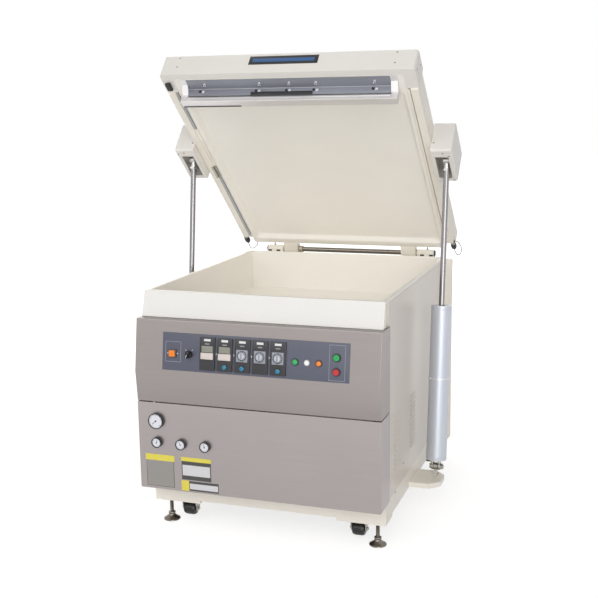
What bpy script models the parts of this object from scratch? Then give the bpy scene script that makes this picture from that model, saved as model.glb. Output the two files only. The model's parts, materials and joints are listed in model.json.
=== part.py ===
"""Compression packaging machine: a vacuum chamber on a base frame, with a hinged lid that two
side cylinders lift. Metres, +Z up, front towards -Y. The lid stands open, as it rests."""

import math

import bmesh
import bpy
from mathutils import Matrix, Vector

for old in list(bpy.data.objects):
    bpy.data.objects.remove(old, do_unlink=True)

# Running and seating gaps
SEAT = 0.0003
RUNNING = 0.0015
SHEET = 0.003

# Chamber: the open tub with its flange and the leaning apron at the front
RIM_HALF = 0.508
RIM_FRONT_Y = 0.088
RIM_REAR_Y = 1.274
RIM_Z = 1.018
RIM_THICK = 0.012
RIM_OVERHANG = 0.010
TUB_WALL = 0.010
TUB_DEPTH = 0.187
TUB_FLOOR = 0.012
APRON_HEIGHT = 0.103
APRON_LEAN = 0.031

# Front hood: console above, lower panel below, both folded sheet
HOOD_PROUD = 0.007
HOOD_HALF = RIM_HALF + HOOD_PROUD
HOOD_DEPTH = 0.136
FOLD_R = 0.004
CONSOLE_GAP = 0.004
CONSOLE_TOP_Y = 0.021
CONSOLE_TOP_Z = RIM_Z - APRON_HEIGHT - SEAT
CONSOLE_KINK_Y = -0.010
CONSOLE_KINK_Z = 0.699
CONSOLE_FOOT_Y = 0.002
CONSOLE_FOOT_Z = 0.574
LOWER_PANEL_Z = 0.199
CONSOLE_LEDGE = 0.066

# Base frame, feet and casters
BASE_HALF = RIM_HALF - SEAT - 0.0027
BASE_FRONT_Y = 0.111
BASE_BOTTOM = 0.117
RAIL_WIDTH = 0.060
POST = 0.050
CORNER_PLATE = 0.012
CORNER_PLATE_X = 0.205
CORNER_PLATE_Y = 0.110
FOOT_INSET_X = 0.046
FOOT_X = BASE_HALF - FOOT_INSET_X
FOOT_INSET_Y = 0.054
FOOT_DISC_R = 0.036
STUD_R = 0.008
CASTER_INSET_X = 0.129
CASTER_X = BASE_HALF - CASTER_INSET_X
CASTER_INSET_Y = 0.075
WHEEL_R = 0.030
WHEEL_WIDTH = 0.052
WHEEL_CENTRE_Z = 0.053
AXLE_R = 0.006

# Side and rear sheets
SIDE_PANEL_THICK = 0.009
SIDE_SEAM_Y = 0.798
LOUVRE_FIRST_Y = 0.277
LOUVRE_SPACING_Y = 0.288
LOUVRE_COLUMNS = 2
LOUVRE_COUNT = 12
LOUVRE_PITCH = 0.0205
LOUVRE_LENGTH = 0.092
LOUVRE_HEIGHT = 0.011
LOUVRE_PROUD = 0.006
LOUVRE_LOW_Z = 0.297
REAR_OVERHANG = 0.032
REAR_HALF = RIM_HALF + REAR_OVERHANG
REAR_THICK = 0.025
REAR_TOP_DROP = 0.010
REAR_TOP_Z = RIM_Z - REAR_TOP_DROP
REAR_BOTTOM_Z = 0.078
REAR_CHAMFER = 0.028

# Lid hinge
HINGE_SETBACK = 0.061
HINGE_Y = RIM_REAR_Y + REAR_THICK + HINGE_SETBACK
HINGE_RISE = 0.0025
HINGE_Z = RIM_Z + HINGE_RISE
OPEN_ANGLE = math.radians(41.3)
SHAFT_R = 0.012
SHAFT_HALF = 0.442
BORE_CLEARANCE = 0.0006
ARM_INNER_X = 0.272
ARM_OUTER_X = 0.345
ARM_R = 0.022
COLLAR_R = 0.017
COLLAR_WIDTH = 0.007
BEARING_INNER_X = 0.354
BEARING_WIDTH = 0.082
BEARING_R = 0.019
BEARING_DROP = 0.033
BEARING_DEPTH = 0.076
BEARING_BASE = 0.012
BEAM_HALF = 0.460
BEAM_DEPTH = 0.100
BEAM_HEIGHT = 0.060
BEAM_WALL = 0.005

# Lid, in its own frame: reach runs forward from the hinge, rise runs outward from the rim plane
LID_OVERHANG = 0.042
LID_HALF = RIM_HALF + LID_OVERHANG
LID_REAR = 0.045
LID_NOSE = 0.035
LID_FRONT = HINGE_Y - RIM_FRONT_Y + LID_NOSE
LID_TOP = 0.105
LID_LOW = 0.003
LID_SKIN = 0.006
LID_EDGE_R = 0.011
COVER_SHEET = 0.003
COVER_CORNER_R = 0.014
COVER_WRAP = 0.110
COVER_LIP = 0.028
COVER_LEG = 0.050
COVER_FILLET = 0.026
SHELL_HALF = LID_HALF - COVER_SHEET - SEAT
SHELL_FRONT = LID_FRONT - COVER_SHEET - SEAT
SHELL_TOP = LID_TOP - COVER_SHEET - SEAT
SHELL_LOW = LID_LOW + COVER_SHEET + SEAT
SHELL_STEP = 0.036
SHELL_BODY_HALF = RIM_HALF - 0.006
LINER_SHEET = 0.004
LINER_BORDER = 0.031
LINER_SIDE = 0.010
LINER_DISH = 0.022
LINER_SLOPE = 0.016
LINER_CREASE_R = 0.008
SAFETY_GAP = 0.012
SAFETY_WIDTH = 0.032
SAFETY_INNER_X = SHELL_BODY_HALF + SAFETY_GAP
SAFETY_OUTER_X = SAFETY_INNER_X + SAFETY_WIDTH
SAFETY_LOW = -0.004
SAFETY_REAR = 0.100
SAFETY_BRACKET_REACH = 0.640
SAFETY_BRACKET_LENGTH = 0.070
SENSOR_R = 0.0135
SENSOR_LENGTH = 0.058
SENSOR_RISE = 0.012
SENSOR_INSET = 0.005
WIRE_R = 0.0020
BAR_CLEARANCE = 0.067
BAR_FACE = HINGE_Y - RIM_FRONT_Y - RIM_OVERHANG - TUB_WALL - BAR_CLEARANCE
BAR_DEEP = 0.054
BAR_BODY = 0.010
BAR_LEDGE = 0.024
BAR_FLANGE = 0.087
BAR_SLOPE = 0.031
BAR_END = 0.024
BAR_SHORT = 0.032
BAR_RAIL_HALF = SHELL_BODY_HALF - BAR_SHORT
BAR_HALF = BAR_RAIL_HALF - BAR_END - 0.002
BAR_RAIL_HEIGHT = 0.012
BAR_COVER = 0.0025
BAR_COVER_DROP = 0.030

# Lifting cylinders
CYL_STANDOFF = 0.090
CYL_X = RIM_HALF + CYL_STANDOFF
BASE_PIVOT_Y = 0.647
BASE_PIVOT_Z = 0.180
LID_PIVOT_REACH = 0.740
LID_PIVOT_RISE = 0.004
TUBE_R = 0.0455
TUBE_BORE_R = 0.040
TUBE_START = 0.030
TUBE_END = 0.712
TUBE_CAP = 0.016
TUBE_GROOVE = 0.0012
ROD_R = 0.0125
PISTON_THICK = 0.030
PISTON_CLEARANCE = 0.0005
PISTON_TOP_SPACE = 0.045
EYE_R = 0.022
EYE_HALF_WIDTH = 0.014
PIN_R = 0.008
PIN_HEAD = 0.012
LUG_GAP = 0.006
FORK_GAP = 0.010
FORK_EAR = 0.010
LUG_R = 0.016
LUG_RISE = 0.048
NECK_HALF = 0.007
NECK_FLARE = 0.019
NECK_INSET = 0.001
BRACKET_BOTTOM = 0.118
BRACKET_THICK = 0.022
BRACKET_MARGIN = 0.036
BRACKET_OUTER_X = CYL_X + BRACKET_MARGIN
BRACKET_FRONT = 0.122
BRACKET_REAR = 0.050
BRACKET_CHAMFER = 0.042

# Boxes over the rod ends, on the lid's sides
BOX_BEHIND = 0.095
BOX_AHEAD = 0.118
BOX_LOW = -0.040
BOX_HIGH = 0.112
BOX_OUTER_X = CYL_X + 0.042
BOX_SHEET = 0.004
BOX_EDGE_R = 0.008
BOX_WALL_GAP = 0.002
SLOT_REACH = 0.072
SLOT_INNER_X = CYL_X - 0.036
SLOT_OUTER_X = CYL_X + 0.022

# Controls on the console, as places across X and up the leaning face from the kink
PLATE_HALF = 0.391
PLATE_LOW = 0.016
PLATE_HIGH = 0.168
PLATE_THICK = 0.0025
STRIP_FIRST_X = -0.1935
STRIP_PITCH = 0.0745
STRIP_COUNT = 5
STRIP_WIDTH = 0.0645
STRIP_LOW = 0.026
STRIP_HIGH = 0.158
STRIP_PROUD = 0.007
LAMP_ROW = 0.084
LAMP_XS = (0.174, 0.222, 0.270)
LAMP_R = 0.012
LAMP_PROUD = 0.012
SQUARE_LAMP_X = -0.346
SQUARE_LAMP_SIDE = 0.024
SELECTOR_X = -0.274
SELECTOR_R = 0.015
BUTTON_X = 0.341
BUTTON_ROWS = (0.111, 0.056)
BUTTON_R = 0.0125
BUTTON_TRAVEL = 0.004
BUTTON_RING = 0.003
BUTTON_RING_PROUD = 0.008

# Gauges on the lower panel
GAUGE_PROUD = 0.016
GAUGE_INSET_X = 0.085
MAIN_GAUGE_Z = 0.494
MAIN_GAUGE_R = 0.033
SMALL_GAUGE_Z = 0.403
SMALL_GAUGE_R = 0.022
SMALL_GAUGE_PITCH = 0.107
SMALL_GAUGE_COUNT = 3

RED, GREEN = (0.62, 0.05, 0.04), (0.05, 0.42, 0.16)


def material(name, colour, roughness, metallic):
    made = bpy.data.materials.new(name)
    made.use_nodes = True
    shader = made.node_tree.nodes["Principled BSDF"]
    shader.inputs["Base Color"].default_value = (*colour, 1)
    shader.inputs["Roughness"].default_value = roughness
    shader.inputs["Metallic"].default_value = metallic
    return made


CREAM = ((0.74, 0.71, 0.63), 0.45, 0.0)
WHITE = ((0.83, 0.83, 0.80), 0.40, 0.0)
STAINLESS = ((0.45, 0.42, 0.40), 0.38, 0.9)
ALUMINIUM = ((0.58, 0.59, 0.63), 0.35, 0.85)
CHROME = ((0.70, 0.70, 0.72), 0.15, 1.0)
ZINC = ((0.50, 0.50, 0.48), 0.40, 0.8)
BLACK = ((0.02, 0.02, 0.02), 0.5, 0.0)
PLATE_BLUE = ((0.15, 0.16, 0.22), 0.5, 0.0)
STRIP_GREY = ((0.20, 0.21, 0.24), 0.45, 0.2)


def empty(name, parent, location, turn_x=0.0):
    made = bpy.data.objects.new(name, None)
    bpy.context.collection.objects.link(made)
    made.parent = parent
    made.location = location
    made.rotation_euler = (turn_x, 0, 0)
    return made


def put(name, bm, finish=None, parent=None, location=(0, 0, 0)):
    """Makes an object of a bmesh, with its own material."""
    bmesh.ops.remove_doubles(bm, verts=bm.verts, dist=1e-7)
    bmesh.ops.recalc_face_normals(bm, faces=bm.faces)
    mesh = bpy.data.meshes.new(name)
    bm.to_mesh(mesh)
    bm.free()
    made = bpy.data.objects.new(name, mesh)
    bpy.context.collection.objects.link(made)
    made.parent = parent
    made.location = location
    if finish:
        mesh.materials.append(material(name, *finish))
    return made


def box_mesh(low, high):
    bm = bmesh.new()
    bmesh.ops.create_cube(bm, size=1)
    low, high = Vector(low), Vector(high)
    bmesh.ops.scale(bm, vec=high - low, verts=bm.verts)
    bmesh.ops.translate(bm, vec=(low + high) / 2, verts=bm.verts)
    return bm


def rounded_box_mesh(low, high, radius, edges):
    """A box whose edges along the named axes are rounded, or only its front upright ones for z-."""
    bm = box_mesh(low, high)
    chosen = []
    for edge in bm.edges:
        a, b = (v.co for v in edge.verts)
        axis = max(range(3), key=lambda k: abs(a[k] - b[k]))
        if "xyz"[axis] in edges and not (edges == "z-" and a.y > (low[1] + high[1]) / 2):
            chosen.append(edge)
    bmesh.ops.bevel(bm, geom=chosen, offset=radius, segments=4, profile=0.5, affect="EDGES")
    return bm


def prism_mesh(outline, axis, low, high):
    """An outline extruded along an axis. Its points are (y, z) for x, (x, z) for y, (x, y) for z."""
    bm = bmesh.new()
    place = {
        "x": lambda p: (low, p[0], p[1]),
        "y": lambda p: (p[0], low, p[1]),
        "z": lambda p: (p[0], p[1], low),
    }[axis]
    face = bm.faces.new([bm.verts.new(place(p)) for p in outline])
    moved = bmesh.ops.extrude_face_region(bm, geom=[face])["geom"]
    along = {"x": (1, 0, 0), "y": (0, 1, 0), "z": (0, 0, 1)}[axis]
    ends = [v for v in moved if isinstance(v, bmesh.types.BMVert)]
    bmesh.ops.translate(bm, vec=Vector(along) * (high - low), verts=ends)
    return bm


def turned_mesh(profile, steps=32):
    """A profile of (radius, height) spun round Z. Ends on the axis close, others join up."""
    bm = bmesh.new()
    rings = []
    for radius, height in profile:
        if radius < 1e-9:
            rings.append([bm.verts.new((0, 0, height))])
            continue
        angles = [2 * math.pi * k / steps for k in range(steps)]
        rings.append([bm.verts.new((radius * math.cos(a), radius * math.sin(a), height)) for a in angles])
    closed = profile[0][0] > 1e-9
    pairs = zip(rings, rings[1:] + rings[:1]) if closed else zip(rings, rings[1:])
    for near, far in pairs:
        for k in range(steps):
            n = (k + 1) % steps
            corners = [near[k % len(near)], near[n % len(near)], far[n % len(far)], far[k % len(far)]]
            bm.faces.new(list(dict.fromkeys(corners)))
    return bm


def rod_mesh(radius, low, high, axis="z", centre=(0, 0, 0), steps=32):
    """A plain cylinder along an axis, between two values on it."""
    bm = turned_mesh([(0, low), (radius, low), (radius, high), (0, high)], steps)
    if axis == "x":
        bmesh.ops.rotate(bm, matrix=Matrix.Rotation(math.pi / 2, 3, "Y"), verts=bm.verts)
    if axis == "y":
        bmesh.ops.rotate(bm, matrix=Matrix.Rotation(-math.pi / 2, 3, "X"), verts=bm.verts)
    bmesh.ops.translate(bm, vec=centre, verts=bm.verts)
    return bm


def combine(target, bm, operation):
    """Joins a mesh to an object, or cuts it from the object, and keeps the result as its mesh."""
    tool = put("tool", bm)
    tool.parent = target.parent
    tool.location = target.location
    modifier = target.modifiers.new("combine", "BOOLEAN")
    modifier.operation = operation
    modifier.solver = "EXACT"
    modifier.object = tool
    bpy.context.view_layer.update()
    graph = bpy.context.evaluated_depsgraph_get()
    result = bpy.data.meshes.new_from_object(target.evaluated_get(graph))
    target.modifiers.clear()
    old = target.data
    for slot in old.materials:
        if slot and slot.name not in result.materials:
            result.materials.append(slot)
    target.data = result
    name = target.name
    bpy.data.meshes.remove(old)
    result.name = name
    bpy.data.objects.remove(tool, do_unlink=True)
    return target


def join(target, bm):
    return combine(target, bm, "UNION")


def cut(target, bm):
    return combine(target, bm, "DIFFERENCE")


def round_shading(obj):
    obj.data.shade_smooth()
    obj.data.set_sharp_from_angle(angle=math.radians(35))
    return obj


def arc(centre, radius, start, end, steps):
    """Points on an arc, angles in degrees."""
    angles = [math.radians(start + (end - start) * k / steps) for k in range(steps + 1)]
    return [(centre[0] + radius * math.cos(a), centre[1] + radius * math.sin(a)) for a in angles]


SIDES = (("left", -1), ("right", 1))


def span(sign, near, far):
    """The X interval between two distances from the middle, on the side that sign names."""
    return min(sign * near, sign * far), max(sign * near, sign * far)


def vacuum_chamber(machine):
    outer = RIM_HALF - RIM_OVERHANG
    floor_z = RIM_Z - TUB_DEPTH
    front, rear = RIM_FRONT_Y + RIM_OVERHANG, RIM_REAR_Y - RIM_OVERHANG
    tub = put(
        "vacuum_chamber",
        box_mesh((-outer, front, floor_z - TUB_FLOOR), (outer, rear, RIM_Z - RIM_THICK / 2)),
        WHITE,
        machine,
    )
    flange = box_mesh((-RIM_HALF, RIM_FRONT_Y, RIM_Z - RIM_THICK), (RIM_HALF, RIM_REAR_Y, RIM_Z))
    join(tub, flange)
    foot_y = RIM_FRONT_Y - APRON_LEAN
    foot_z = RIM_Z - APRON_HEIGHT
    apron = [
        (RIM_FRONT_Y, RIM_Z),
        (foot_y, foot_z),
        (front + TUB_WALL / 2, foot_z),
        (front + TUB_WALL / 2, RIM_Z),
    ]
    join(tub, prism_mesh(apron, "x", -RIM_HALF, RIM_HALF))
    inner = outer - TUB_WALL
    hollow = box_mesh((-inner, front + TUB_WALL, floor_z), (inner, rear - TUB_WALL, RIM_Z + TUB_WALL))
    cut(tub, hollow)
    return tub


def folded_sheet(name, profile, side, top_open, finish, machine):
    """A hood of folded sheet: its front profile runs across X, and its two ends close back."""
    bm = bmesh.new()
    left = [bm.verts.new((-HOOD_HALF, y, z)) for y, z in profile]
    right = [bm.verts.new((HOOD_HALF, y, z)) for y, z in profile]
    for k in range(len(profile) - 1):
        bm.faces.new((left[k], left[k + 1], right[k + 1], right[k]))
    for row, x in ((left, -HOOD_HALF), (right, HOOD_HALF)):
        back = [bm.verts.new((x, y, z)) for y, z in side]
        bm.faces.new(row[top_open:] + back)
    made = put(name, bm, finish, machine)
    folds = made.modifiers.new("folds", "BEVEL")
    folds.width = FOLD_R
    folds.segments = 3
    folds.limit_method = "ANGLE"
    folds.angle_limit = math.radians(40)
    thick = made.modifiers.new("sheet", "SOLIDIFY")
    thick.thickness = SHEET
    thick.offset = -1
    thick.use_even_offset = True
    return made


def front_hood(machine):
    console = [
        (CONSOLE_TOP_Y + CONSOLE_LEDGE, CONSOLE_TOP_Z),
        (CONSOLE_TOP_Y, CONSOLE_TOP_Z),
        (CONSOLE_KINK_Y, CONSOLE_KINK_Z),
        (CONSOLE_FOOT_Y, CONSOLE_FOOT_Z),
    ]
    back = [(HOOD_DEPTH, CONSOLE_FOOT_Z), (HOOD_DEPTH, CONSOLE_TOP_Z)]
    upper = folded_sheet("console_panel", console, back, 0, STAINLESS, machine)
    top = CONSOLE_FOOT_Z - CONSOLE_GAP
    lower = [(0, top), (0, LOWER_PANEL_Z), (HOOD_DEPTH, LOWER_PANEL_Z)]
    folded_sheet("lower_front_panel", lower, [(HOOD_DEPTH, top)], 0, STAINLESS, machine)
    return upper


def base_frame(machine):
    front, rear = BASE_FRONT_Y, RIM_REAR_Y
    top = LOWER_PANEL_Z - SEAT
    block = box_mesh((-BASE_HALF, front, BASE_BOTTOM), (BASE_HALF, rear, top))
    frame = put("base_frame", block, CREAM, machine)
    inner = BASE_HALF - RAIL_WIDTH
    window = box_mesh((-inner, front + RAIL_WIDTH, 0), (inner, rear - RAIL_WIDTH, top + POST))
    cut(frame, window)
    under_tub = RIM_Z - TUB_DEPTH - TUB_FLOOR - SEAT
    for side, sign in SIDES:
        for y in (HOOD_DEPTH + SEAT, rear - POST):
            low, high = span(sign, BASE_HALF - POST - SIDE_PANEL_THICK, BASE_HALF - SIDE_PANEL_THICK)
            join(frame, box_mesh((low, y, top - POST), (high, y + POST, under_tub)))
        for y0, y1 in ((front, front + CORNER_PLATE_Y), (rear - CORNER_PLATE_Y, rear)):
            low, high = span(sign, BASE_HALF - CORNER_PLATE_X, BASE_HALF)
            plate_low, plate_high = BASE_BOTTOM - CORNER_PLATE, BASE_BOTTOM + CORNER_PLATE
            join(frame, box_mesh((low, y0, plate_low), (high, y1, plate_high)))
    return frame


def levelling_foot(name, x, y, machine):
    neck = 0.014
    nut_low, nut_high, nut_r = 0.024, 0.034, 0.015
    top = BASE_BOTTOM - CORNER_PLATE - SEAT
    profile = [(0, 0), (FOOT_DISC_R, 0), (FOOT_DISC_R, 0.007), (neck, nut_low), (neck, nut_low + 0.001)]
    profile += [(STUD_R, nut_low + 0.001), (STUD_R, top), (0, top)]
    foot = put(name, turned_mesh(profile, 24), ZINC, machine, (x, y, 0))
    join(foot, rod_mesh(nut_r, nut_low, nut_high, steps=6))
    return round_shading(foot)


def caster(end, side, sign, y, machine):
    """A fixed caster: a plated fork under the corner plate, and its black roller."""
    x = sign * CASTER_X
    half = WHEEL_WIDTH / 2
    cheek = 0.004
    top = BASE_BOTTOM - CORNER_PLATE - SEAT
    reach = half + 0.003 + cheek
    name = f"caster_fork_{end}_{side}"
    fork = put(name, box_mesh((-reach, -0.030, top - 0.006), (reach, 0.030, top)), ZINC, machine, (x, y, 0))
    for s in (-1, 1):
        low, high = span(s, reach - cheek, reach)
        outline = [(-0.026, top - 0.003), (-0.013, WHEEL_CENTRE_Z - 0.006), (-0.008, WHEEL_CENTRE_Z - 0.012)]
        outline += [(-p[0], p[1]) for p in reversed(outline)]
        join(fork, prism_mesh(outline, "x", low, high))
    join(fork, rod_mesh(AXLE_R, -reach - 0.006, reach + 0.006, "x", (0, 0, WHEEL_CENTRE_Z), 16))
    chamfer = 0.006
    bore = AXLE_R + BORE_CLEARANCE
    profile = [(bore, half), (WHEEL_R - chamfer, half), (WHEEL_R, half - chamfer)]
    profile += [(WHEEL_R, chamfer - half), (WHEEL_R - chamfer, -half), (bore, -half)]
    bm = turned_mesh(profile, 32)
    bmesh.ops.rotate(bm, matrix=Matrix.Rotation(math.pi / 2, 3, "Y"), verts=bm.verts)
    wheel = put(f"caster_wheel_{end}_{side}", bm, BLACK, machine, (x, y, WHEEL_CENTRE_Z))
    round_shading(wheel)


def louvres(sign):
    """Two columns of pressed louvre hoods, as one mesh of separate wedges."""
    bm = bmesh.new()
    face = sign * (RIM_HALF - SEAT)
    out = face + sign * LOUVRE_PROUD
    back = face - sign * LOUVRE_PROUD / 2
    for column in range(LOUVRE_COLUMNS):
        y = LOUVRE_FIRST_Y + column * LOUVRE_SPACING_Y
        for k in range(LOUVRE_COUNT):
            z = LOUVRE_LOW_Z + k * LOUVRE_PITCH
            ends = []
            for end in (-0.5, 0.5):
                y_end = y + end * LOUVRE_LENGTH
                y_lip = y + end * (LOUVRE_LENGTH - LOUVRE_HEIGHT)
                corners = ((back, y_end, z), (back, y_end, z + LOUVRE_HEIGHT), (out, y_lip, z + 0.001))
                lip = (out, y_lip, z)
                ends.append([bm.verts.new(c) for c in (*corners, lip)])
            a, b = ends
            bm.faces.new(a)
            bm.faces.new(b)
            for i in range(4):
                bm.faces.new((a[i], a[(i + 1) % 4], b[(i + 1) % 4], b[i]))
    bmesh.ops.recalc_face_normals(bm, faces=bm.faces)
    return bm


def side_panels(machine):
    low_z, high_z = LOWER_PANEL_Z, RIM_Z - RIM_THICK - SEAT
    for side, sign in SIDES:
        x0, x1 = span(sign, RIM_HALF - RIM_OVERHANG + SEAT, RIM_HALF - SEAT)
        rear_y = RIM_REAR_Y
        front = put(
            f"side_panel_front_{side}",
            box_mesh((x0, HOOD_DEPTH + SEAT, low_z), (x1, SIDE_SEAM_Y - SEAT, high_z)),
            CREAM,
            machine,
        )
        join(front, louvres(sign))
        put(
            f"side_panel_rear_{side}",
            box_mesh((x0, SIDE_SEAM_Y + SEAT, low_z), (x1, rear_y, high_z)),
            CREAM,
            machine,
        )


def rear_panel(machine):
    """The wide folded cover behind the chamber, open at its foot, with its lower corners cut."""
    y0 = RIM_REAR_Y + SEAT
    y1 = y0 + REAR_THICK
    c = REAR_CHAMFER

    def outline(inset, low):
        """The panel's outline, inset by a wall and cut off level at a height."""
        half, top = REAR_HALF - inset, REAR_TOP_Z - inset
        chamfer_sum = REAR_BOTTOM_Z - REAR_HALF + c + inset * math.sqrt(2)
        side = [(-half, top), (-half, chamfer_sum + half), (chamfer_sum - low, low)]
        return side + [(-x, z) for x, z in reversed(side)]

    panel = put("rear_panel", prism_mesh(outline(0, REAR_BOTTOM_Z), "y", y0, y1), CREAM, machine)
    cut(panel, prism_mesh(outline(SHEET, REAR_BOTTOM_Z - SHEET), "y", y0 + SHEET, y1 - SHEET))
    return panel


def hinge_beam(machine):
    y0 = RIM_REAR_Y + REAR_THICK + 2 * SEAT
    top = HINGE_Z - BEARING_DROP - SEAT
    beam = put(
        "hinge_beam",
        box_mesh((-BEAM_HALF, y0, top - BEAM_HEIGHT), (BEAM_HALF, y0 + BEAM_DEPTH, top)),
        CREAM,
        machine,
    )
    w = BEAM_WALL
    cut(beam, box_mesh((-1, y0 + w, top - BEAM_HEIGHT + w), (1, y0 + BEAM_DEPTH - w, top - w)))
    return beam


def bearings(machine):
    for side, sign in SIDES:
        x0, x1 = span(sign, BEARING_INNER_X, BEARING_INNER_X + BEARING_WIDTH)
        base = HINGE_Z - BEARING_DROP
        half = BEARING_DEPTH / 2
        outline = [(HINGE_Y - half, base), (HINGE_Y + half, base), (HINGE_Y + half, base + BEARING_BASE)]
        outline += [(HINGE_Y + BEARING_R, base + BEARING_BASE)]
        outline += arc((HINGE_Y, HINGE_Z), BEARING_R, 0, 180, 12)
        outline += [(HINGE_Y - BEARING_R, base + BEARING_BASE), (HINGE_Y - half, base + BEARING_BASE)]
        block = put(f"bearing_{side}", prism_mesh(outline, "x", x0, x1), CREAM, machine)
        bore = rod_mesh(SHAFT_R + BORE_CLEARANCE, x0 - 0.01, x1 + 0.01, "x", (0, HINGE_Y, HINGE_Z))
        cut(block, bore)


def cylinder_brackets(machine):
    """A foot plate on each side, with the eye and the pin that carry the cylinder."""
    top = BRACKET_BOTTOM + BRACKET_THICK
    front, rear = BASE_PIVOT_Y - BRACKET_FRONT, BASE_PIVOT_Y + BRACKET_REAR
    c = BRACKET_CHAMFER
    half = FORK_GAP - RUNNING
    reach = FORK_GAP + FORK_EAR + RUNNING
    for side, sign in SIDES:
        root_x = BASE_HALF + SEAT
        outline = [(root_x, front), (BRACKET_OUTER_X - c, front), (BRACKET_OUTER_X, front + c)]
        outline += [(BRACKET_OUTER_X, rear - c), (BRACKET_OUTER_X - c, rear), (root_x, rear)]
        outline = [(sign * x, y) for x, y in outline]
        plate = prism_mesh(outline, "z", BRACKET_BOTTOM, top)
        bracket = put(f"cylinder_bracket_{side}", plate, CREAM, machine)
        neck = [(-NECK_FLARE, top - 0.004), (NECK_FLARE, top - 0.004)]
        neck += [(NECK_HALF, BASE_PIVOT_Z - LUG_R * 0.8), (-NECK_HALF, BASE_PIVOT_Z - LUG_R * 0.8)]
        neck = [(BASE_PIVOT_Y + y, z) for y, z in neck]
        x = sign * CYL_X
        pivot = (x, BASE_PIVOT_Y, BASE_PIVOT_Z)
        web = half - NECK_INSET
        join(bracket, prism_mesh(neck, "x", x - web, x + web))
        join(bracket, rod_mesh(LUG_R, -half, half, "x", pivot, 24))
        pin = span(sign, -reach - PIN_HEAD / 4, reach + PIN_HEAD)
        join(bracket, rod_mesh(PIN_R, *pin, "x", pivot, 24))
        nut = span(sign, reach, reach + PIN_HEAD * 0.7)
        join(bracket, rod_mesh(PIN_R * 1.7, *nut, "x", pivot, 6))
        head = span(-sign, reach, reach + PIN_HEAD / 2)
        join(bracket, rod_mesh(PIN_R * 1.4, *head, "x", pivot, 16))
        round_shading(bracket)


def open_pivot():
    """Where the rod's eye stands in the lid's clevis with the lid open, as (y, z)."""
    s, c = math.sin(OPEN_ANGLE), math.cos(OPEN_ANGLE)
    y = HINGE_Y - LID_PIVOT_REACH * c + LID_PIVOT_RISE * s
    z = HINGE_Z + LID_PIVOT_REACH * s + LID_PIVOT_RISE * c
    return y, z


def cylinder_tube(name, swing):
    """A tube with end caps, open through its gland, and a fork under it."""
    gland = ROD_R + BORE_CLEARANCE
    floor, chamfer = TUBE_START + TUBE_CAP, 0.003
    profile = [(0, TUBE_START), (TUBE_R - chamfer, TUBE_START), (TUBE_R, TUBE_START + chamfer)]
    for seam in (floor, TUBE_END - TUBE_CAP):
        profile += [(TUBE_R, seam - TUBE_GROOVE), (TUBE_R - TUBE_GROOVE, seam)]
        profile += [(TUBE_R, seam + TUBE_GROOVE)]
    profile += [(TUBE_R, TUBE_END - chamfer), (TUBE_R - chamfer, TUBE_END), (gland, TUBE_END)]
    profile += [(gland, TUBE_END - TUBE_CAP), (TUBE_BORE_R, TUBE_END - TUBE_CAP)]
    profile += [(TUBE_BORE_R, floor), (0, floor)]
    tube = put(name, turned_mesh(profile), ALUMINIUM, swing)
    for s in (-1, 1):
        low, high = span(s, FORK_GAP, FORK_GAP + FORK_EAR)
        ear = arc((0, 0), LUG_R, 180, 360, 12)
        ear += [(LUG_R, TUBE_START + 0.004), (-LUG_R, TUBE_START + 0.004)]
        join(tube, prism_mesh(ear, "x", low, high))
    reach = FORK_GAP + FORK_EAR + RUNNING
    cut(tube, rod_mesh(PIN_R + BORE_CLEARANCE, -reach, reach, "x", steps=24))
    return round_shading(tube)


def piston_rod(name, length, swing):
    """The rod, with its piston below, and a lock nut and an eye above."""
    piston_high = TUBE_END - TUBE_CAP - PISTON_TOP_SPACE
    piston_low = piston_high - PISTON_THICK
    piston_r = TUBE_BORE_R - PISTON_CLEARANCE
    neck = length - EYE_R * 0.5
    profile = [(0, piston_low), (piston_r, piston_low), (piston_r, piston_high), (ROD_R, piston_high)]
    profile += [(ROD_R, neck), (0, neck)]
    rod = put(name, turned_mesh(profile), CHROME, swing)
    nut = length - EYE_R * 2.1
    join(rod, rod_mesh(ROD_R * 1.35, nut, nut + ROD_R, steps=6))
    join(rod, rod_mesh(ROD_R * 1.12, nut + ROD_R / 2, neck, steps=24))
    join(rod, rod_mesh(EYE_R, -EYE_HALF_WIDTH, EYE_HALF_WIDTH, "x", (0, 0, length), 24))
    return round_shading(rod)


def cylinders(machine):
    y, z = open_pivot()
    dy, dz = y - BASE_PIVOT_Y, z - BASE_PIVOT_Z
    tilt = math.atan2(dy, dz)
    for side, sign in SIDES:
        swing = empty(f"swing_{side}", machine, (sign * CYL_X, BASE_PIVOT_Y, BASE_PIVOT_Z), -tilt)
        cylinder_tube(f"cylinder_tube_{side}", swing)
        piston_rod(f"piston_rod_{side}", math.hypot(dy, dz), swing)


def lid_shell(lid):
    """The lid's pan: top and walls, wide above and stepped in below where the safety bars hang."""
    half, inner, s = SHELL_HALF, SHELL_BODY_HALF, LID_SKIN
    shell = put(
        "lid_shell",
        rounded_box_mesh((-half, -SHELL_FRONT, SHELL_STEP), (half, -LID_REAR, SHELL_TOP), LID_EDGE_R, "yz"),
        CREAM,
        lid,
    )
    body_top = SHELL_STEP + LID_SKIN / 2
    join(shell, box_mesh((-inner, -SHELL_FRONT, SHELL_LOW), (inner, -LID_REAR, body_top)))
    hollow = [(-half + s, SHELL_TOP - s), (-half + s, SHELL_STEP + s)]
    hollow += [(-inner + s, SHELL_STEP + s), (-inner + s, SHELL_LOW - s)]
    hollow += [(-x, z) for x, z in reversed(hollow)]
    cut(shell, prism_mesh(hollow, "y", s - SHELL_FRONT, -LID_REAR - s))
    return shell


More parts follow.
